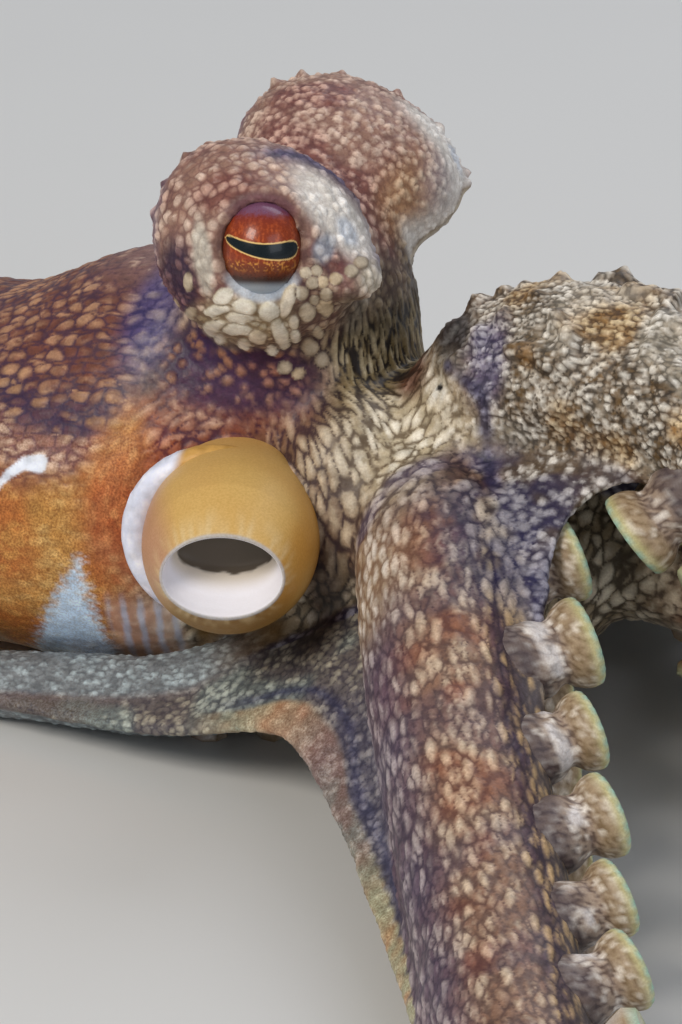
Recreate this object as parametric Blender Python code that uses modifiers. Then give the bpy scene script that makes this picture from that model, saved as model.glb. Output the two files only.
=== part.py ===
"""Coconut octopus, a still model at life size.

The animal sits on its mantle with the head raised and the arms laid out on the floor.
+X is the way the head faces, +Y the animal's left and +Z up, and the origin is on the floor
under the head. Sizes are in millimetres and become metres where a mesh is made.
"""

import math
import random

import bmesh
import bpy
import numpy as np
from mathutils import Matrix, Vector

MM = 0.001
GAP = 0.3
FAR = 300
UP = Vector((0, 0, 1))

# The body's rounded masses: centre, half sizes, and lean about Y in degrees.
BODY = {
    "mantle": ((-33, 1, 18.2), (42, 23.5, 18.4), 0),
    "shoulder": ((-14, 0.5, 20.8), (22.4, 20.7, 23.4), 0),
    "neck": ((-0.5, 0, 36), (12, 13, 19), 0),
    "crown": ((17, 0, 17.5), (18, 19, 15), 0),
    "cheek": ((9.5, -11.5, 23), (8.2, 9.7, 13), 0),
    "belly": ((0, 0, 13.2), (15, 14, 14.6), 0),
    "turret_right": ((-0.1, -11.5, 50.5), (11, 10, 9.8), 0),
    "brow_right": ((-3, -11, 53.6), (7.6, 8.8, 6.9), 0),
    "flap_right": ((8.8, -13.2, 50.9), (4.7, 5.4, 3), 20),
    "turret_left": ((4.2, 11, 51.4), (8.7, 9.5, 6.6), 24),
    "brow_left": ((-3, 11, 53), (8.5, 9.3, 7.5), 0),
}

# How the whole body is blended, and where it is parted.
BODY_VOXEL = 1.1
BODY_SMOOTHING = 9
BODY_TRIANGLES = 2300
NECK_CUT = ((-12, 0, 30), (0.97, 0, 0.25))
CROWN_CUT = ((9.5, 0, 24), (0.8, 0, -0.6))
TURRET_CUT = ((0, 0, 44.5), (0, 0, 1))
BROW_CUT = ((0, 0, 50), (0, 1, 0))

# Each eye: the ball's centre and the way it looks.
EYE_RADIUS = 4.0
EYES = {
    "right": ((2.4, -18.0, 52.8), (0.30, -0.90, 0.31)),
    "left": ((3.4, 16.6, 50.8), (0.30, 0.90, 0.31)),
}
EYE_SEGMENTS = 18
EYE_BANDS = 10
LID_RING = 4.1
LID_THICKNESS = 1.25
LID_AHEAD = 1.1
LID_SQUASH = 0.9
RING_SEGMENTS = 18
RING_SIDES = 5

# The funnel is turned: distance along its axis and radius, from the back round the lip to the bore.
FUNNEL_BASE = (-0.9, -17.5, 23.6)
FUNNEL_MOUTH = (4.6, -35.0, 25.9)
FUNNEL_FLATNESS = 0.94
FUNNEL_PROFILE = (
    (0, 8.6),
    (6, 8.8),
    (11, 8.4),
    (15, 7.2),
    (17.6, 6.2),
    (18.3, 5.6),
    (17.9, 5.0),
    (14.5, 4.5),
    (10, 3.9),
)
FUNNEL_BORE_END = 9
FUNNEL_SIDES = 18
COLLAR_RING = 10.8
COLLAR_THICKNESS = 2.0
COLLAR_BACK = 8.5
COLLAR_SHIFT = (-1.4, -0.3, 0)
COLLAR_SQUASH = 0.95
POCKET_SHOULDER = 6

# Arms: points on the axis with the radius there, where the arm leaves the crown, and the turn of
# the suckers' side from straight down, in degrees.
ARMS = {
    "r1": (
        [(20, 0, 20, 7.4), (33, -0.5, 19.2, 6.7), (45, -1, 17.2, 6.5), (57, 0, 11.5, 6.3),
         (70, 1, 7.4, 5.9), (84, 1, 6.8, 5.3), (100, -2, 6.1, 4.6), (115, -3, 5.2, 3.9),
         (129, 3, 4.2, 3.1), (137, 13, 3.3, 2.4), (137, 24, 2.6, 1.8), (130, 31, 2, 1.2),
         (123, 28, 1.5, 0.6)],
        21, 0),
    "r2": (
        [(15, -4, 22, 8.4), (19, -5, 30, 8.8), (26, -6, 37.6, 9.1), (35, -8, 40, 8.8),
         (45, -11, 38.6, 8.3), (54, -15, 32.5, 7.6), (61, -20, 24, 7), (67, -26, 15, 6.5),
         (74, -33, 8.8, 6), (84, -40, 6.9, 5.4), (97, -46, 6.2, 4.7), (110, -48, 5.3, 3.9),
         (122, -43, 4.3, 3.1), (129, -33, 3.4, 2.4), (127, -22, 2.6, 1.7), (119, -18, 2, 1.1),
         (113, -23, 1.4, 0.6)],
        15, -25),
    "r3": (
        [(14, -5, 22, 8), (19, -14, 25, 8.2), (23.5, -26, 23, 8.1), (28.5, -38, 18.5, 7.8),
         (34.5, -50, 13.2, 7.5), (40.5, -62, 8.9, 7.2), (46.8, -76, 6.7, 6.8), (54, -90, 5.9, 6.2),
         (63, -102, 5.1, 5.4), (75, -109, 4.3, 4.6), (88, -108, 3.5, 3.8), (97, -99, 2.7, 3),
         (97, -88, 2, 2.3), (89, -82, 1.4, 1.6), (82, -86, 0.6, 0.7)],
        17, 82),
    "r4": (
        [(10, -8, 14, 7), (5, -17, 8.6, 5.2), (-6, -21, 5.2, 4.2), (-18, -21.5, 4, 3.6),
         (-34, -23, 3.6, 3.2), (-51, -25, 3.4, 2.8), (-67, -28, 3.2, 2.4), (-81, -34, 2.8, 2),
         (-88, -44, 2.4, 1.6), (-84, -53, 2, 1.1), (-76, -52, 1.4, 0.6)],
        14, -50),
    "l1": (
        [(20, 3, 19, 7.4), (32, 12.5, 23.3, 6.6), (44, 18, 18.8, 6.5), (54, 23, 10.8, 6.1),
         (67, 26, 7.2, 5.5), (83, 30, 6.4, 4.8), (98, 36, 5.5, 4), (110, 46, 4.5, 3.2),
         (115, 58, 3.5, 2.4), (110, 68, 2.7, 1.7), (101, 69, 2, 1.1), (97, 62, 1.4, 0.6)],
        20, 0),
    "l2": (
        [(16, 5, 17, 7.2), (23, 22, 14, 6.6), (32, 33, 10, 6.4), (43, 41, 7.6, 6),
         (54, 51, 6.8, 5.4), (62, 63, 6.1, 4.7), (62, 76, 5.3, 3.9), (53, 84, 4.4, 3.1),
         (42, 84, 3.5, 2.3), (35, 76, 2.6, 1.6), (38, 68, 1.9, 1), (44, 69, 1.4, 0.6)],
        22, 0),
    "l3": (
        [(12, 5, 17, 7), (12, 21, 13, 6.5), (8, 34, 8.2, 6.1), (-2, 44, 6.9, 5.5),
         (-15, 50, 6.3, 4.9), (-31, 53, 5.7, 4.3), (-47, 55, 5, 3.6), (-62, 58, 4.3, 2.9),
         (-75, 64, 3.4, 2.3), (-82, 74, 2.7, 1.6), (-79, 83, 2, 1.1), (-72, 81, 1.4, 0.6)],
        22, 0),
    "l4": (
        [(8, 6, 15, 6.6), (0, 19, 10, 5.6), (-11, 26, 6.6, 4.9), (-25, 29, 5.7, 4.3),
         (-41, 30, 5.1, 3.7), (-57, 30.5, 4.6, 3.2), (-73, 30, 4, 2.6), (-87, 25, 3.4, 2),
         (-94, 15, 2.7, 1.5), (-91, 6, 2.1, 1), (-83, 5, 1.4, 0.6)],
        19, 0),
}
ARM_LENGTHS = "abcd"
ROUNDNESS = {"a": 3, "b": 3, "c": 2, "d": 1}
LENGTH_SHARES = (0, 0.22, 0.46, 0.74, 1)
STUB_OVERRUN = 4.0
RING_SPACING = 0.9
TIP_SPACING = 2.3
PATH_STEP = 0.5
CURVE_STEPS = 24
SEAT_MARGIN = 1.2
CUT_MARGIN = 2.0
CUT_SPREAD = 1.8

# Suckers: two staggered rows, as shares of the arm's radius at that place.
SUCKER_ROW_ANGLE = 33
SUCKER_SIDES = 6
SUCKER_RIM = 0.5
SUCKER_ROOT = 0.3
SUCKER_HEIGHT = 0.6
SUCKER_SINK = 0.3
SUCKER_DISH = 0.16
SUCKER_STEP = (4.0, 0.62)
SUCKERS_FROM = 2.0
SUCKERS_END = 3.0
SUCKER_LEAST_RIM = 0.55
SUCKER_LEAST_ROOT = 0.3
SUCKER_LEAST_HEIGHT = 0.2
SUCKER_VARIATION = 0.07

# Webs: the two arms that each joins, how far out it runs along each, and how deep its edge is cut in.
WEBS = (
    ("r1", "r2", 22, 26, 0.45),
    ("r2", "r3", 24, 26, 0.4),
    ("r3", "r4", 66, 32, 0.66),
    ("r4", "l4", 10, 10, 0.3),
    ("l4", "l3", 26, 24, 0.5),
    ("l3", "l2", 26, 26, 0.5),
    ("l2", "l1", 26, 26, 0.5),
    ("l1", "r1", 24, 24, 0.5),
)
WEB_THICKNESS = 1.2
WEB_HOLLOW_POWER = 0.7
WEB_ROWS = 4
WEB_COLUMNS = 6

SKIN_BROWN = (0.20, 0.10, 0.07)
SKIN_TAN = (0.42, 0.27, 0.17)
SKIN_ORANGE = (0.50, 0.22, 0.06)
WEB_GREY = (0.18, 0.17, 0.24)
EYE_RUST = (0.32, 0.07, 0.02)


def clear_scene():
    for item in list(bpy.data.objects):
        bpy.data.objects.remove(item)


def collection(name):
    made = bpy.data.collections.new(name)
    bpy.context.scene.collection.children.link(made)
    return made


def material(name, colour, roughness):
    made = bpy.data.materials.new(name)
    made.use_nodes = True
    shader = made.node_tree.nodes["Principled BSDF"]
    shader.inputs["Base Color"].default_value = (*colour, 1)
    shader.inputs["Roughness"].default_value = roughness
    return made


def new_object(name, mesh, where):
    made = bpy.data.objects.new(name, mesh)
    where.objects.link(made)
    return made


def mesh_from(shape, name):
    mesh = bpy.data.meshes.new(name)
    shape.to_mesh(mesh)
    shape.free()
    return mesh


def applied(item):
    """The object with its modifiers made part of its mesh."""
    bpy.context.view_layer.update()
    graph = bpy.context.evaluated_depsgraph_get()
    mesh = bpy.data.meshes.new_from_object(item.evaluated_get(graph))
    item.modifiers.clear()
    item.data = mesh
    return item


def frame_along(axis, side_hint):
    """A rotation whose Z is the axis and whose X is as near the hint as it can be."""
    z = Vector(axis).normalized()
    x = (Vector(side_hint) - z * z.dot(Vector(side_hint))).normalized()
    return Matrix((x, z.cross(x), z)).transposed()


def ellipsoid(name, form, where, segments=32, bands=20):
    centre, sizes, lean = form
    shape = bmesh.new()
    bmesh.ops.create_uvsphere(shape, u_segments=segments, v_segments=bands, radius=1)
    place = (
        Matrix.Translation(Vector(centre) * MM)
        @ Matrix.Rotation(math.radians(lean), 4, "Y")
        @ Matrix.Diagonal((*(Vector(sizes) * MM), 1))
    )
    shape.transform(place)
    return new_object(name, mesh_from(shape, name), where)


def ring(name, centre, axis, side_hint, major, minor, squash, where):
    """A torus round the axis, squashed across it."""
    bpy.ops.mesh.primitive_torus_add(
        major_radius=major * MM,
        minor_radius=minor * MM,
        major_segments=RING_SEGMENTS,
        minor_segments=RING_SIDES,
    )
    made = bpy.context.object
    place = (
        Matrix.Translation(Vector(centre) * MM)
        @ frame_along(axis, side_hint).to_4x4()
        @ Matrix.Diagonal((1, squash, 1, 1))
    )
    made.data.transform(place)
    made.name = name
    for holder in list(made.users_collection):
        holder.objects.unlink(made)
    where.objects.link(made)
    return made


def block(name, point, normal, half_width, depth, where):
    """A box whose one face lies on the plane, reaching out along the normal."""
    shape = bmesh.new()
    bmesh.ops.create_cube(shape, size=1)
    hint = (0, 1, 0) if abs(Vector(normal).normalized().y) < 0.9 else (1, 0, 0)
    place = (
        Matrix.Translation(Vector(point) * MM)
        @ frame_along(normal, hint).to_4x4()
        @ Matrix.Diagonal((2 * half_width * MM, 2 * half_width * MM, depth * MM, 1))
        @ Matrix.Translation((0, 0, 0.5))
    )
    shape.transform(place)
    made = new_object(name, mesh_from(shape, name), where)
    made.hide_render = True
    made.display_type = "WIRE"
    return made


def boolean(item, operation, operands):
    """Joins or cuts the item with a whole collection, applies it and removes the collection."""
    bpy.context.view_layer.update()
    step = item.modifiers.new(operation.title(), "BOOLEAN")
    step.operation = operation
    step.operand_type = "COLLECTION"
    step.collection = operands
    step.solver = "MANIFOLD"
    applied(item)
    for other in list(operands.objects):
        bpy.data.objects.remove(other)
    bpy.data.collections.remove(operands)
    return item


def keep_largest(item):
    """Keeps the closed surface with the most volume, and drops loose scraps and sealed hollows."""
    shape = bmesh.new()
    shape.from_mesh(item.data)
    shape.faces.ensure_lookup_table()
    left = set(shape.faces)
    groups = []
    while left:
        first = left.pop()
        group = [first]
        for face in group:
            for edge in face.edges:
                for other in edge.link_faces:
                    if other in left:
                        left.discard(other)
                        group.append(other)
        groups.append(group)
    groups.sort(key=volume_inside, reverse=True)
    for group in groups[1:]:
        bmesh.ops.delete(shape, geom=group, context="FACES")
    shape.to_mesh(item.data)
    shape.free()
    return item


def volume_inside(faces):
    total = 0.0
    for face in faces:
        corners = [loop.vert.co for loop in face.loops]
        for second, third in zip(corners[1:], corners[2:]):
            total += corners[0].dot(second.cross(third))
    return total / 6


def smooth_path(points, step):
    """Points evenly spread along a Catmull-Rom curve through the given ones: x, y, z, radius."""
    given = np.array(points, float)
    ends = np.vstack([2 * given[0] - given[1], given, 2 * given[-1] - given[-2]])
    turns = np.linspace(0, 1, CURVE_STEPS, endpoint=False)[:, None]
    spans = []
    for before, start, end, after in zip(ends, ends[1:], ends[2:], ends[3:]):
        spans.append(
            0.5
            * (
                2 * start
                + (end - before) * turns
                + (2 * before - 5 * start + 4 * end - after) * turns**2
                + (3 * start - before - 3 * end + after) * turns**3
            )
        )
    dense = np.vstack([*spans, given[-1:]])
    reach = arc_lengths(dense)
    wanted = np.arange(0, reach[-1] + step / 2, step)
    wanted[-1] = reach[-1]
    return np.stack([np.interp(wanted, reach, dense[:, i]) for i in range(4)], axis=1)


def arc_lengths(path):
    sides = np.linalg.norm(np.diff(path[:, :3], axis=0), axis=1)
    return np.concatenate([[0], np.cumsum(sides)])


class Arm:
    """One arm's smooth axis, which gives the place, radius and direction at any distance along it."""

    def __init__(self, name):
        points, self.start, self.roll = ARMS[name]
        self.name = name
        self.path = smooth_path(points, PATH_STEP)
        self.reach = arc_lengths(self.path)
        self.length = self.reach[-1]

    def at(self, distance):
        x, y, z, radius = (np.interp(distance, self.reach, self.path[:, i]) for i in range(4))
        return Vector((x, y, z)), radius

    def heading(self, distance):
        ahead, _ = self.at(min(distance + 1, self.length))
        behind, _ = self.at(max(distance - 1, 0))
        return (ahead - behind).normalized()

    def sucker_side(self, distance):
        """Straight down from the arm, turned by its roll towards the animal's left of its heading."""
        along = self.heading(distance)
        down = (-UP + along * along.dot(UP)).normalized()
        left = UP.cross(along).normalized()
        left = (left - down * left.dot(down)).normalized()
        turn = math.radians(self.roll)
        return down * math.cos(turn) + left * math.sin(turn)

    def stations(self, first, last):
        """Distances from first to last, closer together where the arm is thin."""
        found = [first]
        while found[-1] < last:
            _, radius = self.at(found[-1])
            found.append(found[-1] + RING_SPACING * radius + TIP_SPACING)
        span = found[-1] - first
        return [first + (one - first) * (last - first) / span for one in found]


def tube(name, arm, distances, where, roundness):
    """A closed tube along the arm's axis, as thick as the arm at each distance."""
    curve = bpy.data.curves.new(name, "CURVE")
    curve.dimensions = "3D"
    curve.bevel_depth = MM
    curve.bevel_resolution = roundness
    curve.use_fill_caps = True
    spline = curve.splines.new("POLY")
    spline.points.add(len(distances) - 1)
    for point, distance in zip(spline.points, distances):
        place, radius = arm.at(distance)
        point.co = (*(place * MM), 1)
        point.radius = radius
    guide = new_object(name + "_guide", curve, where)
    bpy.context.view_layer.update()
    graph = bpy.context.evaluated_depsgraph_get()
    mesh = bpy.data.meshes.new_from_object(guide.evaluated_get(graph))
    bpy.data.objects.remove(guide)
    shape = bmesh.new()
    shape.from_mesh(mesh)
    bmesh.ops.remove_doubles(shape, verts=shape.verts, dist=0.01 * MM)
    bmesh.ops.recalc_face_normals(shape, faces=shape.faces)
    shape.to_mesh(mesh)
    shape.free()
    return new_object(name, mesh, where)


def sucker(name, place, outward, along, rim, sink, height, dish, root, where):
    """A flared cup on a short stalk, with a dished face and its root sunk in the arm."""
    shape = bmesh.new()
    bmesh.ops.create_cone(
        shape,
        cap_ends=True,
        segments=SUCKER_SIDES,
        radius1=root * MM,
        radius2=rim * MM,
        depth=(sink + height) * MM,
    )
    face = max(shape.faces, key=lambda one: one.calc_center_median().z)
    bmesh.ops.poke(shape, faces=[face], offset=-dish * MM)
    place_it = (
        Matrix.Translation(place * MM)
        @ frame_along(outward, along).to_4x4()
        @ Matrix.Translation((0, 0, (height - sink) / 2 * MM))
    )
    shape.transform(place_it)
    return new_object(name, mesh_from(shape, name), where)


def sucker_places(arm, draw):
    """Distance, row side and size of every sucker of one arm, from its base to its tip."""
    base, share = SUCKER_STEP
    distance = arm.start + SUCKERS_FROM
    side = 1
    found = []
    while distance < arm.length - SUCKERS_END:
        _, radius = arm.at(distance)
        found.append((distance, side, draw.uniform(1 - SUCKER_VARIATION, 1 + SUCKER_VARIATION)))
        distance += base + share * radius
        side = -side
    return found


def add_suckers(arm, places, first, last, where):
    for number, (distance, side, size) in enumerate(places):
        if not first < distance < last:
            continue
        place, radius = arm.at(distance)
        along = arm.heading(distance)
        turn = Matrix.Rotation(math.radians(SUCKER_ROW_ANGLE * side), 3, along)
        outward = turn @ arm.sucker_side(distance)
        sucker(
            f"sucker_{arm.name}_{number}",
            place + outward * radius,
            outward,
            along,
            rim=max(SUCKER_RIM * radius * size, SUCKER_LEAST_RIM),
            sink=SUCKER_SINK * radius,
            height=SUCKER_HEIGHT * radius * size + SUCKER_LEAST_HEIGHT,
            dish=SUCKER_DISH * radius,
            root=max(SUCKER_ROOT * radius, SUCKER_LEAST_ROOT),
            where=where,
        )


def make_arm(arm, made, parts, finish):
    """The arm's lengths: each a tube with its suckers, cut flat where two meet, clear of made arms."""
    places = sucker_places(arm, random.Random(arm.name))
    free = arm.length - arm.start
    limits = [arm.start + share * free for share in LENGTH_SHARES]
    for letter, first, last in zip(ARM_LENGTHS, limits, limits[1:]):
        name = f"arm_{arm.name}_{letter}"
        tip = last == arm.length
        start, end = first - STUB_OVERRUN, last if tip else last + STUB_OVERRUN
        item = tube(name, arm, arm.stations(start, end), parts, ROUNDNESS[letter])
        cups = collection(name + "_suckers")
        add_suckers(arm, places, start + 1, end, cups)
        boolean(item, "UNION", cups)
        cutters = collection(name + "_cutters")
        floor_block(cutters)
        for distance, way in ((first, -1), (last, 1)):
            if tip and way == 1:
                continue
            place, radius = arm.at(distance)
            out = arm.heading(distance) * way
            spread = CUT_SPREAD * radius + CUT_MARGIN
            depth = 2 * (STUB_OVERRUN + CUT_MARGIN)
            block("end", place - out * GAP / 2, out, spread, depth, cutters)
        for other in made:
            clear_of(f"arm_{other}_a", cutters)
        boolean(item, "DIFFERENCE", cutters)
        keep_largest(item)
        item.data.materials.append(finish)


def floor_block(where):
    return block("floor", (0, 0, 0), -UP, FAR, FAR, where)


def make_funnel(parts, finish):
    """The funnel, turned from its profile, squashed to an oval and aimed at its mouth."""
    base, mouth = Vector(FUNNEL_BASE), Vector(FUNNEL_MOUTH)
    outline = [(0, 0), *FUNNEL_PROFILE, (FUNNEL_BORE_END, 0)]
    item = turned("funnel", outline, parts)
    aim_funnel(item, base, mouth)
    item.data.materials.append(finish)
    return item


def turned(name, outline, where):
    """The outline (distance along, radius) spun round Z by a Screw."""
    mesh = bpy.data.meshes.new(name)
    points = [(radius * MM, 0, along * MM) for along, radius in outline]
    mesh.from_pydata(points, [(i, i + 1) for i in range(len(points) - 1)], [])
    item = new_object(name, mesh, where)
    spin = item.modifiers.new("Turn", "SCREW")
    spin.steps = spin.render_steps = FUNNEL_SIDES
    spin.use_merge_vertices = True
    spin.merge_threshold = 0.00001
    applied(item)
    shape = bmesh.new()
    shape.from_mesh(item.data)
    bmesh.ops.remove_doubles(shape, verts=shape.verts, dist=0.01 * MM)
    bmesh.ops.recalc_face_normals(shape, faces=shape.faces)
    shape.to_mesh(item.data)
    shape.free()
    return item


def aim_funnel(item, base, mouth):
    place = (
        Matrix.Translation(base * MM)
        @ frame_along(mouth - base, (1, 0, 0)).to_4x4()
        @ Matrix.Diagonal((1, FUNNEL_FLATNESS, 1, 1))
    )
    item.data.transform(place)


def funnel_pocket(where):
    """The space that the funnel's root fills in the body, with the gap round it."""
    base, mouth = Vector(FUNNEL_BASE), Vector(FUNNEL_MOUTH)
    widest = max(radius for _, radius in FUNNEL_PROFILE)
    reach = (mouth - base).length
    room = GAP / FUNNEL_FLATNESS
    outline = [
        (-GAP, 0),
        (-GAP, FUNNEL_PROFILE[0][1] + room),
        (POCKET_SHOULDER, widest + room),
        (reach, widest + room),
        (reach, 0),
    ]
    item = turned("pocket", outline, where)
    aim_funnel(item, base, mouth)
    return item


def make_body(arms, parts):
    """Head, mantle and crown blended as one, then cut for the eyes, the funnel and the arms' seats."""
    pieces = collection("pieces")
    whole = ellipsoid("whole", BODY["mantle"], parts)
    for name, form in BODY.items():
        if name != "mantle":
            ellipsoid(f"mass_{name}", form, pieces)
    base, mouth = Vector(FUNNEL_BASE), Vector(FUNNEL_MOUTH)
    axis = (mouth - base).normalized()
    collar = base + axis * COLLAR_BACK + Vector(COLLAR_SHIFT)
    ring("collar", collar, axis, (1, 0, 0), COLLAR_RING, COLLAR_THICKNESS, COLLAR_SQUASH, pieces)
    for arm in arms.values():
        stations = arm.stations(0, arm.start + STUB_OVERRUN)
        tube(f"root_{arm.name}", arm, stations, pieces, ROUNDNESS["a"])
    boolean(whole, "UNION", pieces)
    blend = whole.modifiers.new("Blend", "REMESH")
    blend.mode = "VOXEL"
    blend.voxel_size = BODY_VOXEL * MM
    soften = whole.modifiers.new("Soften", "SMOOTH")
    soften.factor = 0.5
    soften.iterations = BODY_SMOOTHING
    applied(whole)
    lids = collection("lids")
    for side, (centre, look) in EYES.items():
        centre, look = Vector(centre), Vector(look).normalized()
        lid = centre + look * LID_AHEAD
        ring(f"lid_{side}", lid, look, (1, 0, 0), LID_RING, LID_THICKNESS, LID_SQUASH, lids)
    thin = whole.modifiers.new("Thin", "DECIMATE")
    thin.ratio = BODY_TRIANGLES / (2 * len(whole.data.polygons))
    thin.use_collapse_triangulate = True
    applied(whole)
    boolean(whole, "UNION", lids)
    cutters = collection("body_cutters")
    floor_block(cutters)
    funnel_pocket(cutters)
    for side, (centre, _) in EYES.items():
        sizes = (EYE_RADIUS + GAP,) * 3
        ellipsoid(f"socket_{side}", (centre, sizes, 0), cutters, EYE_SEGMENTS, EYE_BANDS)
    for arm in arms.values():
        place, radius = arm.at(arm.start)
        out = arm.heading(arm.start)
        depth = STUB_OVERRUN + CUT_MARGIN
        block(f"seat_{arm.name}", place - out * GAP / 2, out, radius + SEAT_MARGIN, depth, cutters)
        clear_of(f"arm_{arm.name}_a", cutters)
    boolean(whole, "DIFFERENCE", cutters)
    return keep_largest(whole)


def part_body(whole, parts, finishes):
    """The body's nodes: each is a copy of the whole with what lies past its cuts taken away."""
    neck, crown, turret, brow = NECK_CUT, CROWN_CUT, TURRET_CUT, BROW_CUT
    nodes = {
        "mantle": ((neck, 1),),
        "head": ((neck, -1), (crown, 1), (turret, 1)),
        "crown": ((neck, -1), (crown, -1)),
        "turret_right": ((neck, -1), (crown, 1), (turret, -1), (brow, 1)),
        "turret_left": ((neck, -1), (crown, 1), (turret, -1), (brow, -1)),
    }
    for name, cuts in nodes.items():
        item = new_object(name, whole.data.copy(), parts)
        cutters = collection(name + "_cutters")
        for (point, normal), way in cuts:
            out = Vector(normal).normalized() * way
            block("part", Vector(point) - out * GAP / 2, out, FAR, FAR, cutters)
        boolean(item, "DIFFERENCE", cutters)
        keep_largest(item)
        item.data.materials.append(finishes[name])
    bpy.data.objects.remove(whole)


def web_edge(arm, other_place, distance):
    """A point on the arm's side that faces the other place, clear of the arm by the gap."""
    place, radius = arm.at(distance)
    along = arm.heading(distance)
    side = other_place - place
    side = (side - along * side.dot(along)).normalized()
    return place + side * (radius + GAP)


def make_web(arms, web, clearance, parts, finish):
    """A thin sheet from arm to arm with a hollowed free edge, clear of the crown."""
    first, second, reach_first, reach_second, hollow = web
    one, two = arms[first], arms[second]
    points, faces = [], []
    for row in range(WEB_ROWS + 1):
        for column in range(WEB_COLUMNS + 1):
            across = column / WEB_COLUMNS
            out = row / WEB_ROWS * (1 - hollow * (4 * across * (1 - across)) ** WEB_HOLLOW_POWER)
            at_one, at_two = one.start + out * reach_first, two.start + out * reach_second
            edge_one = web_edge(one, two.at(at_two)[0], at_one)
            edge_two = web_edge(two, one.at(at_one)[0], at_two)
            points.append(edge_one.lerp(edge_two, across) * MM)
    width = WEB_COLUMNS + 1
    for row in range(WEB_ROWS):
        for column in range(WEB_COLUMNS):
            corner = row * width + column
            faces.append((corner, corner + 1, corner + 1 + width, corner + width))
    mesh = bpy.data.meshes.new(f"web_{first}_{second}")
    mesh.from_pydata(points, [], faces)
    item = new_object(f"web_{first}_{second}", mesh, parts)
    wall = item.modifiers.new("Wall", "SOLIDIFY")
    wall.thickness = WEB_THICKNESS * MM
    wall.offset = 0
    even = item.modifiers.new("Triangles", "TRIANGULATE")
    even.quad_method = "FIXED"
    applied(item)
    cutters = collection(item.name + "_cutters")
    clearance_copy = new_object("clearance", clearance.copy(), cutters)
    clearance_copy.hide_render = True
    floor_block(cutters)
    for arm in (one, two):
        for letter in ARM_LENGTHS[:2]:
            clear_of(f"arm_{arm.name}_{letter}", cutters)
    boolean(item, "DIFFERENCE", cutters)
    keep_largest(item)
    item.data.materials.append(finish)


def swollen(mesh, by):
    """A copy of the mesh with every point moved out by a small distance."""
    made = mesh.copy()
    for vertex, normal in zip(made.vertices, [one.vector.copy() for one in made.vertex_normals]):
        vertex.co += normal * by * MM
    return made


def clear_of(node, cutters):
    """Adds a cutter a little larger than a finished node, so that what it cuts keeps the gap."""
    grown = swollen(bpy.data.objects[node].data, GAP)
    new_object(f"clear_{node}", grown, cutters).hide_render = True


def main():
    clear_scene()
    parts = collection("octopus")
    finishes = {
        "mantle": material("mantle_skin", SKIN_ORANGE, 0.5),
        "head": material("head_skin", SKIN_BROWN, 0.5),
        "crown": material("crown_skin", SKIN_TAN, 0.5),
        "turret_right": material("turret_right_skin", SKIN_BROWN, 0.5),
        "turret_left": material("turret_left_skin", SKIN_BROWN, 0.5),
    }
    arms = {name: Arm(name) for name in ARMS}
    made = []
    for name, arm in arms.items():
        make_arm(arm, made, parts, material(f"arm_{name}_skin", SKIN_TAN, 0.5))
        made.append(name)
    whole = make_body(arms, parts)
    clearance = swollen(whole.data, GAP)
    part_body(whole, parts, finishes)
    make_funnel(parts, material("funnel_skin", SKIN_ORANGE, 0.45))
    for side, (centre, _) in EYES.items():
        ball = (centre, (EYE_RADIUS,) * 3, 0)
        eye = ellipsoid(f"eye_{side}", ball, parts, EYE_SEGMENTS, EYE_BANDS)
        eye.data.materials.append(material(f"eye_{side}_ball", EYE_RUST, 0.15))
    for web in WEBS:
        make_web(arms, web, clearance, parts, material(f"web_{web[0]}_{web[1]}_skin", WEB_GREY, 0.5))


main()
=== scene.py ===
"""Looks for the coconut octopus, a still model at life size.

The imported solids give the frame. One skin, worked out in millimetres as a field of distances,
replaces every node of flesh. The eyes, the funnel and the suckers are pieces of their own,
and the lids, pads, beads and small spikes are relief in the skin. +X is the way the head faces,
+Y the animal's left, and +Z up.
"""

import math

import bpy
import numpy as np
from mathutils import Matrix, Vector


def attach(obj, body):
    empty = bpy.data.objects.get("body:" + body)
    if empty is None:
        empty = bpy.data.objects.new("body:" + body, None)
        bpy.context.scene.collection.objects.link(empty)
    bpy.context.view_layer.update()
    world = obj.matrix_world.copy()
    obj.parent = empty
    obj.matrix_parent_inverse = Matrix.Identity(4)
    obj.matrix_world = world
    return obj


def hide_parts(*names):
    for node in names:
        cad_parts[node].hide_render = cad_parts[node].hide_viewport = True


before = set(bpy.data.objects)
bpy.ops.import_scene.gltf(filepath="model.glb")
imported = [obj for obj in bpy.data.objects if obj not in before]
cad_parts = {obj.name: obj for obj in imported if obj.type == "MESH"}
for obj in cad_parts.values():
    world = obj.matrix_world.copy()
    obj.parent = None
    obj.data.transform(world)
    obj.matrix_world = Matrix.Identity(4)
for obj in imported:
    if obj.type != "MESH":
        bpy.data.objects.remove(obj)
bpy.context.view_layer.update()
MM = 0.001

# The lens looks at the animal's right side from 20 degrees ahead of square and 24 above level,
# close enough for the head, the funnel and two raised arms to fill the picture.
AIM = np.array([7.4, -10.0, 22.7])
LENS_AWAY = 360.0
TURN, HEIGHT = math.radians(20), math.radians(24)
LENS_RIGHT = np.array([math.cos(TURN), math.sin(TURN), 0])
LENS_BACK = np.array([
    math.sin(TURN) * math.cos(HEIGHT), -math.cos(TURN) * math.cos(HEIGHT), math.sin(HEIGHT)])
LENS_UP = np.cross(LENS_BACK, LENS_RIGHT)
PICTURE_HALF_HEIGHT, PICTURE_HALF_WIDTH = 51.2, 34.1
lens = bpy.data.cameras.new("lens")
lens.sensor_width = 36
lens.lens = lens.sensor_width / 2 * LENS_AWAY / PICTURE_HALF_HEIGHT
lens.clip_start = 0.01
camera = bpy.data.objects.new("camera", lens)
bpy.context.scene.collection.objects.link(camera)
camera.location = (AIM + LENS_BACK * LENS_AWAY) * MM
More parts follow.
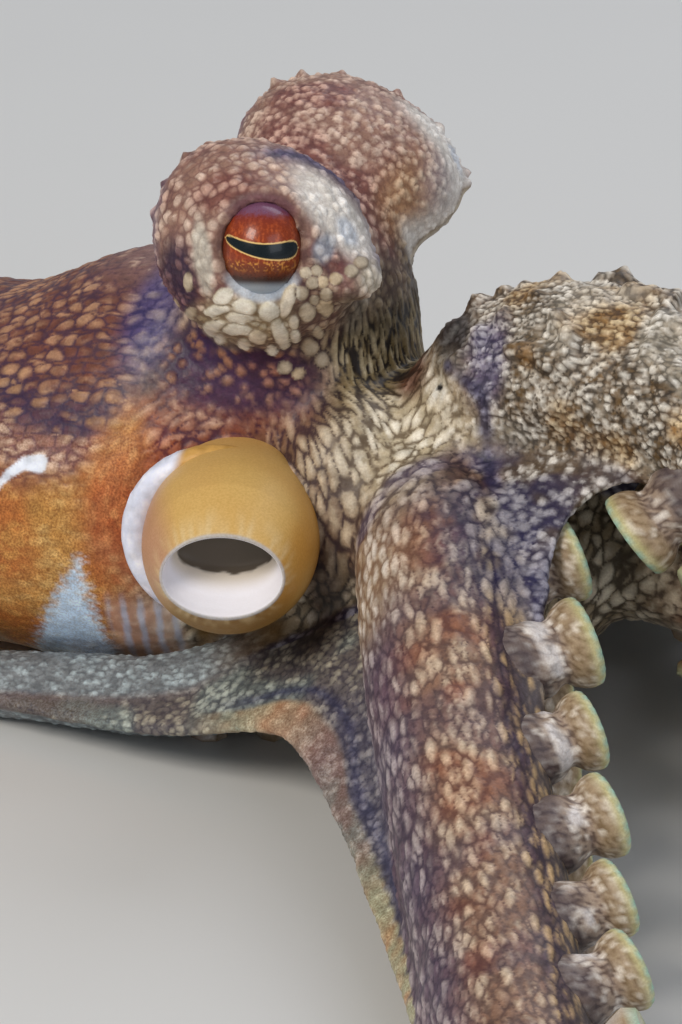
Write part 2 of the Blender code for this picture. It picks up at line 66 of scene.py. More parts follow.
camera.rotation_euler = Vector(LENS_BACK).to_track_quat("Z", "Y").to_euler()
bpy.context.scene.camera = camera
bpy.context.scene.view_settings.view_transform = "Standard"


# The studio floor is one pale painted board, big enough to run out of every view.
# It is satin paint, a little uneven, so that it takes soft shadows and no glare. Its patches
# of more and less gloss are about 33 mm wide, coarser than a brush leaves them.
def linear(code):
    """An sRGB hex colour as linear light: to the power 2.4 above the short straight toe."""
    parts = np.array([int(code[i:i + 2], 16) for i in (1, 3, 5)]) / 255
    return np.where(parts <= 0.04045, parts / 12.92, ((parts + 0.055) / 1.055) ** 2.4)


def add(tree, kind, sockets=None, **settings):
    """Adds one node: its settings by name, and each input given a value or linked to an output."""
    made = tree.nodes.new("ShaderNode" + kind)
    for name, value in settings.items():
        setattr(made, name, value)
    for name, value in (sockets or {}).items():
        if isinstance(value, bpy.types.NodeSocket):
            tree.links.new(value, made.inputs[name])
        else:
            made.inputs[name].default_value = value
    return made


def new_material(name):
    """An empty material: its node tree, its shader and its output are ready to be linked."""
    made = bpy.data.materials.new(name)
    made.use_nodes = True
    return made, made.node_tree, made.node_tree.nodes["Principled BSDF"]


def new_piece(name, points, faces, finish):
    """A mesh object of points in millimetres and rows of corner numbers, smooth all over."""
    mesh = bpy.data.meshes.new(name)
    rows = [np.asarray(some) for some in (faces if isinstance(faces, (list, tuple)) else [faces])]
    corners = np.concatenate([some.ravel() for some in rows])
    sizes = np.concatenate([np.full(len(some), some.shape[1]) for some in rows])
    mesh.vertices.add(len(points))
    mesh.vertices.foreach_set("co", (points * MM).astype(np.float32).ravel())
    mesh.loops.add(len(corners))
    mesh.loops.foreach_set("vertex_index", corners.astype(np.int32))
    mesh.polygons.add(len(sizes))
    mesh.polygons.foreach_set("loop_start", (np.cumsum(sizes) - sizes).astype(np.int32))
    mesh.update(calc_edges=True)
    mesh.shade_smooth()
    made = bpy.data.objects.new(name, mesh)
    bpy.context.scene.collection.objects.link(made)
    mesh.materials.append(finish)
    return made


FLOOR_MOTTLE_TO_METRE = 30.0
board_paint, tree, shader = new_material("satin_floor_paint")
uneven = add(tree, "TexNoise", {
    "Vector": add(tree, "TexCoord").outputs["Object"], "Scale": FLOOR_MOTTLE_TO_METRE})
shade = add(tree, "MapRange", {"Value": uneven.outputs["Fac"], "To Min": 0.5, "To Max": 0.6})
tree.links.new(shade.outputs["Result"], shader.inputs["Roughness"])
shader.inputs["Base Color"].default_value = (*linear("#D8D8D6"), 1)
FLOOR_HALF = 4000
floor_corners = np.array([[-1, -1, 0], [1, -1, 0], [1, 1, 0], [-1, 1, 0]]) * FLOOR_HALF
floor = new_piece("floor", floor_corners, np.array([[0, 1, 2, 3]]), board_paint)

# Soft light: a broad key from above the lens's left, a fill from its right and a rim behind.
# Each lamp: its place and size in metres, its power in watts and its tint.
LIGHTS = {
    "key": ((-0.30, -0.75, 0.80), 0.4, 7.0, "#FFF8EE"),
    "fill": ((0.75, -0.5, 0.45), 0.6, 2.0, "#EEF3FF"),
    "rim": ((0.1, 0.7, 0.8), 0.6, 3.2, "#F4F6FF"),
}
for name, (place, size, power, tint) in LIGHTS.items():
    lamp = bpy.data.lights.new(name, "AREA")
    lamp.size = size
    lamp.energy = power
    lamp.color = linear(tint)
    made = bpy.data.objects.new(name, lamp)
    made.location = place
    made.rotation_euler = Vector(place).to_track_quat("Z", "Y").to_euler()
    bpy.context.scene.collection.objects.link(made)
sky = bpy.data.worlds.new("studio")
sky.use_nodes = True
sky.node_tree.nodes["Background"].inputs["Color"].default_value = (*linear("#DDE3EA"), 1)
sky.node_tree.nodes["Background"].inputs["Strength"].default_value = 0.36
bpy.context.scene.world = sky

# The eight arms are muscle all through. Each is known by points on its axis with the radius
# there, where it leaves the crown, and the turn of its suckers' side from straight down.
ARMS = {
    "r1": (
        [(20, 0, 20, 7.4), (33, -0.5, 19.2, 6.7), (45, -1, 17.2, 6.5), (57, 0, 11.5, 6.3),
         (70, 1, 7.4, 5.9), (84, 1, 6.8, 5.3), (100, -2, 6.1, 4.6), (115, -3, 5.2, 3.9),
         (129, 3, 4.2, 3.1), (137, 13, 3.3, 2.4), (137, 24, 2.6, 1.8), (130, 31, 2, 1.2),
         (123, 28, 1.5, 0.6)],
        21, 0),
    "r2": (
        [(15, -4, 22, 8.4), (19, -5, 30, 8.8), (26, -6, 37.6, 9.1), (35, -8, 40, 8.8),
         (45, -11, 38.6, 8.3), (54, -15, 32.5, 7.6), (61, -20, 24, 7), (67, -26, 15, 6.5),
         (74, -33, 8.8, 6), (84, -40, 6.9, 5.4), (97, -46, 6.2, 4.7), (110, -48, 5.3, 3.9),
         (122, -43, 4.3, 3.1), (129, -33, 3.4, 2.4), (127, -22, 2.6, 1.7), (119, -18, 2, 1.1),
         (113, -23, 1.4, 0.6)],
        15, -25),
    "r3": (
        [(14, -5, 22, 8), (19, -14, 25, 8.2), (23.5, -26, 23, 8.1), (28.5, -38, 18.5, 7.8),
         (34.5, -50, 13.2, 7.5), (40.5, -62, 8.9, 7.2), (46.8, -76, 6.7, 6.8), (54, -90, 5.9, 6.2),
         (63, -102, 5.1, 5.4), (75, -109, 4.3, 4.6), (88, -108, 3.5, 3.8), (97, -99, 2.7, 3),
         (97, -88, 2, 2.3), (89, -82, 1.4, 1.6), (82, -86, 0.6, 0.7)],
        17, 82),
    "r4": (
        [(10, -8, 14, 7), (5, -17, 8.6, 5.2), (-6, -21, 5.2, 4.2), (-18, -21.5, 4, 3.6),
         (-34, -23, 3.6, 3.2), (-51, -25, 3.4, 2.8), (-67, -28, 3.2, 2.4), (-81, -34, 2.8, 2),
         (-88, -44, 2.4, 1.6), (-84, -53, 2, 1.1), (-76, -52, 1.4, 0.6)],
        14, -50),
    "l1": (
        [(20, 3, 19, 7.4), (32, 12.5, 23.3, 6.6), (44, 18, 18.8, 6.5), (54, 23, 10.8, 6.1),
         (67, 26, 7.2, 5.5), (83, 30, 6.4, 4.8), (98, 36, 5.5, 4), (110, 46, 4.5, 3.2),
         (115, 58, 3.5, 2.4), (110, 68, 2.7, 1.7), (101, 69, 2, 1.1), (97, 62, 1.4, 0.6)],
        20, 0),
    "l2": (
        [(16, 5, 17, 7.2), (23, 22, 14, 6.6), (32, 33, 10, 6.4), (43, 41, 7.6, 6),
         (54, 51, 6.8, 5.4), (62, 63, 6.1, 4.7), (62, 76, 5.3, 3.9), (53, 84, 4.4, 3.1),
         (42, 84, 3.5, 2.3), (35, 76, 2.6, 1.6), (38, 68, 1.9, 1), (44, 69, 1.4, 0.6)],
        22, 0),
    "l3": (
        [(12, 5, 17, 7), (12, 21, 13, 6.5), (8, 34, 8.2, 6.1), (-2, 44, 6.9, 5.5),
         (-15, 50, 6.3, 4.9), (-31, 53, 5.7, 4.3), (-47, 55, 5, 3.6), (-62, 58, 4.3, 2.9),
         (-75, 64, 3.4, 2.3), (-82, 74, 2.7, 1.6), (-79, 83, 2, 1.1), (-72, 81, 1.4, 0.6)],
        22, 0),
    "l4": (
        [(8, 6, 15, 6.6), (0, 19, 10, 5.6), (-11, 26, 6.6, 4.9), (-25, 29, 5.7, 4.3),
         (-41, 30, 5.1, 3.7), (-57, 30.5, 4.6, 3.2), (-73, 30, 4, 2.6), (-87, 25, 3.4, 2),
         (-94, 15, 2.7, 1.5), (-91, 6, 2.1, 1), (-83, 5, 1.4, 0.6)],
        19, 0),
}
ARM_STEP, PATH_CUTS = 0.5, 24
UP = np.array([0, 0, 1.0])


def unit(rows):
    """Each row divided by its length."""
    return rows / np.maximum(np.linalg.norm(rows, axis=-1, keepdims=True), 1e-9)


def smooth_path(points, step):
    """A Catmull-Rom curve through the points, at even distances: x, y, z, radius and distance."""
    given = np.array(points, float)
    ends = np.vstack([2 * given[0] - given[1], given, 2 * given[-1] - given[-2]])
    t = np.linspace(0, 1, PATH_CUTS, endpoint=False)[:, None, None]
    a, b, c, d = ends[:-3], ends[1:-2], ends[2:-1], ends[3:]
    dense = 0.5 * (
        2 * b + (c - a) * t + (2 * a - 5 * b + 4 * c - d) * t**2 + (3 * b - a - 3 * c + d) * t**3)
    dense = np.vstack([dense.transpose(1, 0, 2).reshape(-1, 4), given[-1:]])
    reach = np.concatenate([[0], np.cumsum(np.linalg.norm(np.diff(dense[:, :3], axis=0), axis=1))])
    wanted = np.linspace(0, reach[-1], int(reach[-1] / step) + 1)
    return np.column_stack([*(np.interp(wanted, reach, dense[:, i]) for i in range(4)), wanted])


class Arm:
    """An arm's axis with the way it runs, its suckers' side and its flank at each station."""

    def __init__(self, points, start, roll):
        self.path = smooth_path(points, ARM_STEP)
        self.place, self.radius, self.far = self.path[:, :3], self.path[:, 3], self.path[:, 4]
        self.start, self.length = start, self.path[-1, 4]
        self.run = unit(np.gradient(self.place, axis=0))
        down = unit(self.run * self.run[:, 2:] - UP)
        left = unit(np.cross(UP, self.run))
        turn = math.radians(roll)
        self.oral = unit(down * math.cos(turn) + left * math.sin(turn))
        self.flank = np.cross(self.run, self.oral)

    def at(self, far, rows):
        """Rows of the arm's own values, read between stations at the distances given."""
        rows = rows.reshape(len(self.far), -1)
        return np.column_stack([np.interp(far, self.far, rows[:, i]) for i in range(rows.shape[1])])


arms = {name: Arm(*given) for name, given in ARMS.items()}

# The skin's form starts as a field of distances on a grid: the mantle, the head and its two
# turrets, the crown, the collar round the funnel, the arms and the webs, melted into one.
GRID = 0.6
GRID_LOW = np.array([-101.0, -119.0, -3.0])
GRID_HIGH = np.array([147.0, 93.0, 67.0])
LINES = [np.arange(low, high, GRID) for low, high in zip(GRID_LOW, GRID_HIGH)]
# Each form of the body: its centre, its half sizes, its lean in degrees and its fillet.
BODY = {
    "mantle": ((-33, 1, 18.2), (42, 23.5, 18.2), 0, 5),
    "shoulder": ((-14, 0.5, 20.8), (22, 20.5, 23), 0, 6),
    "column": ((-0.5, 0, 36), (12, 13, 19), 0, 6),
    "crown": ((17, 0, 17.5), (18, 19, 15), 0, 6),
    "cheek": ((9.5, -11.5, 23), (8, 9.5, 13), 0, 4),
    "belly": ((0, 0, 13.2), (15, 14, 14), 0, 4),
    "right_turret": ((-0.2, -11.5, 50.5), (10.5, 9.6, 9.4), 0, 4),
    "right_brow": ((-3, -11, 53.6), (7.3, 8.5, 6.6), 0, 2),
    "right_flap": ((8.2, -13.4, 50.2), (4.6, 5.2, 2.5), 24, 1.6),
    "left_turret": ((4.2, 11, 51.4), (8.4, 9.2, 6.2), 24, 4),
    "left_brow": ((-3, 11, 53), (8.2, 9, 7.2), 0, 6),
}
FUNNEL_BASE = np.array([-0.9, -17.5, 23.6])
FUNNEL_MOUTH = np.array([4.6, -35.0, 25.9])
COLLAR_BACK, COLLAR_RING, COLLAR_THICK, COLLAR_FLAT, COLLAR_REACH = 3.4, 8.0, 1.5, 0.97, 20
COLLAR_SHIFT = np.array([-1.6, -0.4, -0.4])
EYE_RADIUS, EYE_TALL, SOCKET_TIGHT = 4.0, 1.14, 0.05
EYES = {
    "right": (np.array([2.4, -18.0, 52.8]), unit(np.array([0.30, -0.90, 0.31]))),
    "left": (np.array([3.4, 16.6, 50.8]), unit(np.array([0.30, 0.90, 0.31]))),
}
LID_RING, LID_THICK, LID_AHEAD, LID_REACH = 4.2, 1.0, 0.6, 10
# Each web: its two arms, how far it runs out along each, and how deep its edge is hollowed.
WEBS = (
    ("r1", "r2", 22, 26, 0.45),
    ("r2", "r3", 24, 26, 0.4),
    ("r3", "r4", 66, 32, 0.66),
    ("r4", "l4", 10, 10, 0.3),
    ("l4", "l3", 26, 24, 0.5),
    ("l3", "l2", 26, 26, 0.5),
    ("l2", "l1", 26, 26, 0.5),
    ("l1", "r1", 24, 24, 0.5),
)
WEB_HALF, WEB_OWNER, WEB_COLUMNS, WEB_STEP = 0.7, 9, 14, 0.6
WEB_SINK, WEB_REACH, WEB_MARGIN = 0.3, 2.5, 4
COLLAR_MELT, WEB_MELT, LID_MELT, SOCKET_MELT = 1.6, 2.0, 2.0, 0.3
AWAY = 30.0  # farther off, in millimetres, than any distance that counts

field = np.full([len(line) for line in LINES], AWAY, np.float32)
owner = np.zeros(field.shape, np.int8)


def window(low, high):
    """The grid between two corners: its slices, and x, y and z ready to spread over it."""
    first = np.maximum(np.floor((low - GRID_LOW) / GRID).astype(int), 0)
    last = np.minimum(np.ceil((high - GRID_LOW) / GRID).astype(int) + 1, field.shape)
    part = tuple(slice(a, b) for a, b in zip(first, last))
    spots = np.meshgrid(*(line[cut] for line, cut in zip(LINES, part)), indexing="ij", sparse=True)
    return part, [spot.astype(np.float32) for spot in spots]


def rod_spots(a, b, reach, corner):
    """The grid round a rod from a to b: its slices, counted from the corner, and x, y and z."""
    part, spots = window(np.minimum(a, b) - reach, np.maximum(a, b) + reach)
    return tuple(slice(cut.start - c, cut.stop - c) for cut, c in zip(part, corner)), spots


def melt(a, b, k):
    """The lesser of two distances, less a fillet of max(k - |a - b|, 0) squared over 4k."""
    return np.minimum(a, b) - np.maximum(k - np.abs(a - b), 0) ** 2 / (4 * k)


def ellipsoid(x, y, z, centre, sizes, lean):
    """Distance to an ellipsoid: q(q - 1)/g, q the scaled radius and g its slope, leant about Y."""
    turn = math.radians(lean)
    x, y, z = x - centre[0], y - centre[1], z - centre[2]
    x, z = x * math.cos(turn) - z * math.sin(turn), x * math.sin(turn) + z * math.cos(turn)
    q = np.sqrt((x / sizes[0]) ** 2 + (y / sizes[1]) ** 2 + (z / sizes[2]) ** 2)
    g = np.sqrt((x / sizes[0] ** 2) ** 2 + (y / sizes[1] ** 2) ** 2 + (z / sizes[2] ** 2) ** 2)
    return q * (q - 1) / np.maximum(g, 1e-6)


def cone(x, y, z, a, b, radius_a, radius_b):
    """Distance to a rod from a to b with round ends, its radius running evenly between them."""
    run = b - a
    x, y, z = x - a[0], y - a[1], z - a[2]
    t = np.clip((x * run[0] + y * run[1] + z * run[2]) / run.dot(run), 0, 1)
    away = np.sqrt((x - t * run[0]) ** 2 + (y - t * run[1]) ** 2 + (z - t * run[2]) ** 2)
    return away - radius_a - t * (radius_b - radius_a)


def ring(x, y, z, centre, axis, major, minor, flat=1.0):
    """Distance to a ring: from the circle of the major radius about the axis, less the minor one.
    A flat one is as much lower as its share says."""
    x, y, z = x - centre[0], y - centre[1], (z - centre[2]) / flat
    along = x * axis[0] + y * axis[1] + z * axis[2]
    across = np.sqrt(np.maximum(x**2 + y**2 + z**2 - along**2, 0))
    return np.sqrt((across - major) ** 2 + along**2) - minor


for centre, sizes, lean, k in BODY.values():
    reach = max(sizes) + 2 * k
    part, spots = window(np.array(centre) - reach, np.array(centre) + reach)
    field[part] = melt(field[part], ellipsoid(*spots, centre, sizes, lean), k)
funnel_axis = unit(FUNNEL_MOUTH - FUNNEL_BASE)
collar = FUNNEL_BASE + funnel_axis * COLLAR_BACK + COLLAR_SHIFT
part, spots = window(collar - COLLAR_REACH, collar + COLLAR_REACH)
field[part] = melt(field[part], ring(
    *spots, collar, funnel_axis, COLLAR_RING, COLLAR_THICK, COLLAR_FLAT), COLLAR_MELT)

ARM_MARGIN, ROD_STATIONS = 4.0, 3
ROOT_MELT, FREE_MELT, ROOT_FADE = 3.0, 0.6, 12.0
for number, arm in enumerate(arms.values(), 1):
    reach = arm.radius.max() + ARM_MARGIN
    part, _ = window(arm.place.min(0) - reach, arm.place.max(0) + reach)
    alone = np.full(field[part].shape, AWAY, np.float32)
    fillet = np.full(field[part].shape, FREE_MELT, np.float32)
    corner = [cut.start for cut in part]
    stops = np.arange(0, len(arm.far) - 1, ROD_STATIONS)
    for i, j in zip(stops, np.append(stops[1:], len(arm.far) - 1)):
        a, b = arm.place[i], arm.place[j]
        inner, spots = rod_spots(a, b, arm.radius[i] + ARM_MARGIN, corner)
        rod = cone(*spots, a, b, arm.radius[i], arm.radius[j])
        closer = rod < alone[inner]
        alone[inner][closer] = rod[closer]
        root = np.clip((arm.start + ROOT_FADE - arm.far[i]) / ROOT_FADE, 0, 1)
        fillet[inner][closer] = FREE_MELT + (ROOT_MELT - FREE_MELT) * root
    owner[part][alone < field[part]] = number
    field[part] = melt(field[part], alone, fillet)


def web_sheet(one, two, reach_one, reach_two, hollow, rows, columns):
    """Points of a web: rows run straight from arm to arm, and shrink back most half way across."""
    across = np.linspace(0, 1, columns)[None, :]
    out = np.linspace(0, 1, rows)[:, None] * (1 - hollow * (4 * across * (1 - across)) ** 0.7)
    edges = []
    for own, beside, reach, other in (
            (one, two, reach_one, reach_two), (two, one, reach_two, reach_one)):
        here = own.start + out.ravel() * reach
        place, run = own.at(here, own.place), unit(own.at(here, own.run))
        side = beside.at(beside.start + out.ravel() * other, beside.place) - place
        side = unit(side - run * (side * run).sum(1, keepdims=True))
        edges.append(place + side * (own.at(here, own.radius) - WEB_SINK))
    share = np.broadcast_to(across, out.shape).ravel()[:, None]
    return (edges[0] * (1 - share) + edges[1] * share).reshape(rows, columns, 3)


for one, two, reach_one, reach_two, hollow in WEBS:
    rows = int(max(reach_one, reach_two) / WEB_STEP)
    sheet = web_sheet(arms[one], arms[two], reach_one, reach_two, hollow, rows, WEB_COLUMNS)
    flat_sheet = sheet.reshape(-1, 3)
    part, _ = window(flat_sheet.min(0) - WEB_MARGIN, flat_sheet.max(0) + WEB_MARGIN)
    alone = np.full(field[part].shape, AWAY, np.float32)
    corner = [cut.start for cut in part]
    for a, b in zip(sheet[:, :-1].reshape(-1, 3), sheet[:, 1:].reshape(-1, 3)):
        inner, spots = rod_spots(a, b, WEB_REACH, corner)
        alone[inner] = np.minimum(alone[inner], cone(*spots, a, b, WEB_HALF, WEB_HALF))
    owner[part][alone < field[part]] = WEB_OWNER
    field[part] = melt(field[part], alone, WEB_MELT)

for centre, look in EYES.values():
    part, spots = window(centre - LID_REACH, centre + LID_REACH)
    lid = ring(*spots, centre + look * LID_AHEAD, look, LID_RING, LID_THICK, EYE_TALL)
    field[part] = melt(field[part], lid, LID_MELT)
    wide = EYE_RADIUS - SOCKET_TIGHT
    ball = ellipsoid(*spots, centre, (wide, wide, wide * EYE_TALL), 0)
    field[part] = -melt(-field[part], ball, SOCKET_MELT)


def surface_net(field):
    """One point in each cell of the grid that the zero surface crosses, at the mean of where it
    crosses the cell's edges, and a face of four such points round each grid edge it crosses."""
    inside = field < 0
    corners = np.array([(i, j, k) for i in (0, 1) for j in (0, 1) for k in (0, 1)])
    shape = np.array(field.shape) - 1
    count = sum(inside[tuple(slice(c, c + n) for c, n in zip(one, shape))].astype(np.int8)
                for one in corners)
    cells = np.argwhere((count > 0) & (count < 8))
    number = np.full(shape, -1, np.int32)
    number[tuple(cells.T)] = np.arange(len(cells))
    values = [field[tuple((cells + one).T)] for one in corners]
    total, hits = np.zeros((len(cells), 3)), np.zeros(len(cells))
    for i, one in enumerate(corners):
        for j in range(i + 1, 8):
            if np.abs(corners[j] - one).sum() == 1:
                crossed = (values[i] < 0) != (values[j] < 0)
                t = values[i][crossed] / (values[i][crossed] - values[j][crossed])
                total[crossed] += one + t[:, None] * (corners[j] - one)
                hits[crossed] += 1
    points = GRID_LOW + GRID * (cells + total / hits[:, None])
    faces = []
    for axis in range(3):
        others = [(axis + 1) % 3, (axis + 2) % 3]
        u, v = np.eye(3, dtype=int)[others]
        first = np.moveaxis(inside, axis, 0)[:-1]
        second = np.moveaxis(inside, axis, 0)[1:]
        edges = np.argwhere(first != second)
        leaving = first[tuple(edges.T)]
        edges = np.insert(edges[:, 1:], axis, edges[:, 0], axis=1)
        kept = ((edges[:, others] > 0) & (edges[:, others] < shape[others])).all(1)
        edges, leaving = edges[kept], leaving[kept]
        ring_of = np.stack([number[tuple((edges - shift).T)] for shift in (u + v, v, 0 * u, u)], 1)
        ring_of[~leaving] = ring_of[~leaving, ::-1]
        faces.append(ring_of)
    return points, np.concatenate(faces)


def face_normals(points, faces):
    """Half the cross product of a face's diagonals: it points out, as long as the face's area."""
    one, two, three, last = (points[faces[:, i]] for i in (0, 1, 2, -1))
    return np.cross(three - one, last - two) / 2


def gathered(rows, index, size):
    """The sum of the rows that share each index."""
    return np.column_stack([np.bincount(index, rows[:, i], size) for i in range(rows.shape[1])])


def point_normals(points, kinds):
    """At each point, the sum of the normals of the faces round it, made one long."""
    total = np.zeros_like(points)
    for faces in kinds:
        normals = face_normals(points, faces)
        total += gathered(np.repeat(normals, faces.shape[1], 0), faces.ravel(), len(points))
    return unit(total)


def evened(rows, quads, times):
    """Each point's row moved, the given number of times, half way to its neighbours' mean."""
    ends = np.concatenate([quads, np.roll(quads, 1, 1)], 1).ravel()
    others = np.concatenate([np.roll(quads, 1, 1), quads], 1).ravel()
    count = np.maximum(np.bincount(ends, minlength=len(rows)), 1)[:, None]
    for _ in range(times):
        rows = (rows + gathered(rows[others], ends, len(rows)) / count) / 2
    return rows


def refined(points, quads, chosen):
    """Each chosen face cut in four, and each unchosen one beside it fanned out from its middle."""
    ends = np.sort(np.stack([quads, np.roll(quads, -1, 1)], 2).reshape(-1, 2), 1)
    keys = ends[:, 0].astype(np.int64) * len(points) + ends[:, 1]
    key, edge = np.unique(keys, return_inverse=True)
    edge = edge.reshape(len(quads), 4)
    split = np.zeros(len(key), bool)
    split[edge[chosen]] = True
    beside = ~chosen & split[edge].any(1)
    middle = np.full(len(key), -1)
    middle[split] = len(points) + np.arange(split.sum())
    pairs = np.stack([key[split] // len(points), key[split] % len(points)], 1)
    edge_points = points[pairs].mean(1)
    centred = chosen | beside
    centre = np.full(len(quads), -1)
    centre[centred] = len(points) + len(edge_points) + np.arange(centred.sum())
    more = np.concatenate([points, edge_points, points[quads[centred]].mean(1)])
    q, m, c = quads[chosen], middle[edge[chosen]], centre[chosen]
    fours = [np.stack([q[:, i], m[:, i], c, m[:, i - 1]], 1) for i in range(4)]
    q, m, c = quads[beside], middle[edge[beside]], centre[beside]
    threes = []
    for i in range(4):
        cut = m[:, i] >= 0
        following = q[:, (i + 1) % 4]
        threes.append(np.stack([q[~cut, i], following[~cut], c[~cut]], 1))
        threes.append(np.stack([q[cut, i], m[cut, i], c[cut]], 1))
        threes.append(np.stack([m[cut, i], following[cut], c[cut]], 1))
    return more, np.concatenate([quads[~centred], *fours]), np.concatenate(threes)


def in_picture(points, wider):
    """Whether each point lies in the picture, made that much wider, in millimetres at the aim."""
    away = points - AIM
    scale = LENS_AWAY / (LENS_AWAY - away @ LENS_BACK)
    right, up = away @ LENS_RIGHT * scale, away @ LENS_UP * scale
    return ((np.abs(right) < PICTURE_HALF_WIDTH + wider)
            & (np.abs(up) < PICTURE_HALF_HEIGHT + wider))


OFF_FLOOR, FACE_REACH = 0.02, 12.5
SKIN_EVENED, WEB_EVENED = 3, 4
skin, quads = surface_net(field)
skin = evened(skin, quads, SKIN_EVENED)
skin[:, 2] = np.maximum(skin[:, 2], OFF_FLOOR)
facing = point_normals(skin, [quads]) @ LENS_BACK
middles = skin[quads].mean(1)
seen = in_picture(middles, 2.0) & (facing[quads].max(1) > -0.25)
seen &= (middles[:, 1] < 24) & (middles[:, 0] < 70)
skin, quads, threes = refined(skin, quads, seen)
facing = point_normals(skin, [quads, threes]) @ LENS_BACK
off_eye = skin[quads].mean(1) - EYES["right"][0] - LENS_BACK * 4
by_eye = (np.linalg.norm(off_eye, axis=1) < FACE_REACH) & (facing[quads].min(1) > 0.05)
skin, quads, more_threes = refined(skin, quads, by_eye)
threes = np.concatenate([threes, more_threes])
normals = point_normals(skin, [quads, threes])

# Which arm each point of the skin belongs to, how far along it lies and how far round from the
# suckers' side. The pattern of the skin follows the arms by these. The arms are numbered 1 to 4
# on the right and 5 to 8 on the left.
STATION_SKIP = 3
THIRD_ARMS, FOURTH_ARMS = (3, 7), (4, 8)


def rise(value, low, high):
    """0 below the low value, 1 above the high one, and 3t^2 - 2t^3 between them."""
    t = np.clip((value - low) / (high - low), 0, 1)
    return t * t * (3 - 2 * t)


def fall(value, low, high):
    """1 below the low value and 0 above the high one: 1 less the rise between them."""
    return 1 - rise(value, low, high)


arm_of = np.zeros(len(skin), np.int8)
arm_gap = np.full(len(skin), AWAY)
arm_far, arm_angle = np.zeros(len(skin)), np.zeros(len(skin))
arm_radius, arm_start, arm_length = np.ones(len(skin)), np.zeros(len(skin)), np.ones(len(skin))
arm_offset = np.zeros_like(skin)
for number, arm in enumerate(arms.values(), 1):
    reach = arm.radius.max() + 2
    close = (skin > arm.place.min(0) - reach) & (skin < arm.place.max(0) + reach)
    close = close.all(1).nonzero()[0]
    spots, stops = skin[close], arm.place[::STATION_SKIP]
    away = (stops**2).sum(1) - 2 * spots @ stops.T
    nearest = np.argmin(away, 1) * STATION_SKIP
    along = ((spots - arm.place[nearest]) * arm.run[nearest]).sum(1)
    far = np.clip(arm.far[nearest] + along, 0, arm.length)
    offset = spots - arm.at(far, arm.place)
    radius = arm.at(far, arm.radius)[:, 0]
    off_arm = np.linalg.norm(offset, axis=1) - radius
    mine = off_arm < arm_gap[close]
    chosen = close[mine]
    arm_gap[chosen], arm_far[chosen], arm_radius[chosen] = off_arm[mine], far[mine], radius[mine]
    arm_of[chosen], arm_start[chosen], arm_length[chosen] = number, arm.start, arm.length
    oral, flank = unit(arm.at(far, arm.oral)), unit(arm.at(far, arm.flank))
    offset = offset[mine]
    arm_angle[chosen] = np.arctan2((offset * flank[mine]).sum(1), (offset * oral[mine]).sum(1))
    arm_offset[chosen] = np.column_stack([
        (offset * oral[mine]).sum(1), (offset * flank[mine]).sum(1), np.zeros(len(offset))])
on_arm = fall(arm_gap, 0.4, 1.8) * rise(arm_far, arm_start - 5, arm_start + 7)
cell = np.clip(np.rint((skin - GRID_LOW) / GRID).astype(int), 0, np.array(field.shape) - 1)
on_web = (owner[tuple(cell.T)] == WEB_OWNER).astype(float)
on_web = evened(on_web[:, None], quads, WEB_EVENED)[:, 0]

# The skin's pattern is a net of dark lines round pale cells: rows of ovals on the mantle, pebbles
# on the head, strands down the neck, plates on the crown and beads along the arms.
def hashed(cells, seed):
    """Three even draws for each whole cell: its numbers times large odd ones, mixed by shifts."""
    mixed = (cells[:, 0] * 73856093 ^ cells[:, 1] * 19349663 ^ cells[:, 2] * 83492791
             ^ seed * 2654435761)
    draws = []
    for _ in range(3):
        mixed = ((mixed ^ (mixed >> 15)) & 0xFFFFFFFF) * 0x2C1B3C6D & 0xFFFFFFFF
        mixed = (mixed ^ (mixed >> 12)) * 0x297A2D39 & 0xFFFFFFFF
        mixed ^= mixed >> 15
        draws.append(mixed / 2**32)
    return np.stack(draws, 1)


def pebbles(spots, seed, loose=0.85, rows=False):
    """Cells round one loose seed in each unit cube: how much nearer the nearest seed is than the
    next, how far it is, and a draw of its own. Unless rows are wanted, the cubes are turned."""
    if not rows:
        spots = spots @ np.array([[0.36, 0.48, -0.8], [-0.8, 0.6, 0.0], [0.48, 0.64, 0.6]])
    base = np.floor(spots).astype(np.int64)
    first, second, draw = np.full(len(spots), 9.0), np.full(len(spots), 9.0), np.zeros(len(spots))
    for shift in np.ndindex(3, 3, 3):
        cells = base + np.array(shift) - 1
        draws = hashed(cells, seed)
        away = np.linalg.norm(cells + 0.5 + loose * (draws - 0.5) - spots, axis=1)
        nearer = away < first
        second = np.where(nearer, first, np.minimum(second, away))
        draw = np.where(nearer, draws[:, 0], draw)
        first = np.where(nearer, away, first)
    return second - first, first, draw


def clouds(spots, seed):
    """Smooth noise from 0 to 1: draws at the corners of each unit cube, mixed by 3t^2 - 2t^3."""
    base = np.floor(spots).astype(np.int64)
    t = rise(spots - base, 0, 1)
    total = 0
    for shift in np.ndindex(2, 2, 2):
        weight = np.prod(np.where(shift, t, 1 - t), axis=1)
        total = total + weight * hashed(base + np.array(shift), seed)[:, 0]
    return total


def near(centre, radii, soft=0.5):
    """1 inside an ellipsoid and 0 outside it, fading over the soft share of its size: on both sides
    of the body where the centre is given on the right, and on the left alone where it is there."""
    side = skin[:, 1] if centre[1] > 0 else -np.abs(skin[:, 1])
    away = [skin[:, 0] - centre[0], side - centre[1], skin[:, 2] - centre[2]]
    reach = np.sqrt(sum((one / radius) ** 2 for one, radius in zip(away, radii)))
    return fall(reach, 1 - soft, 1 + soft)


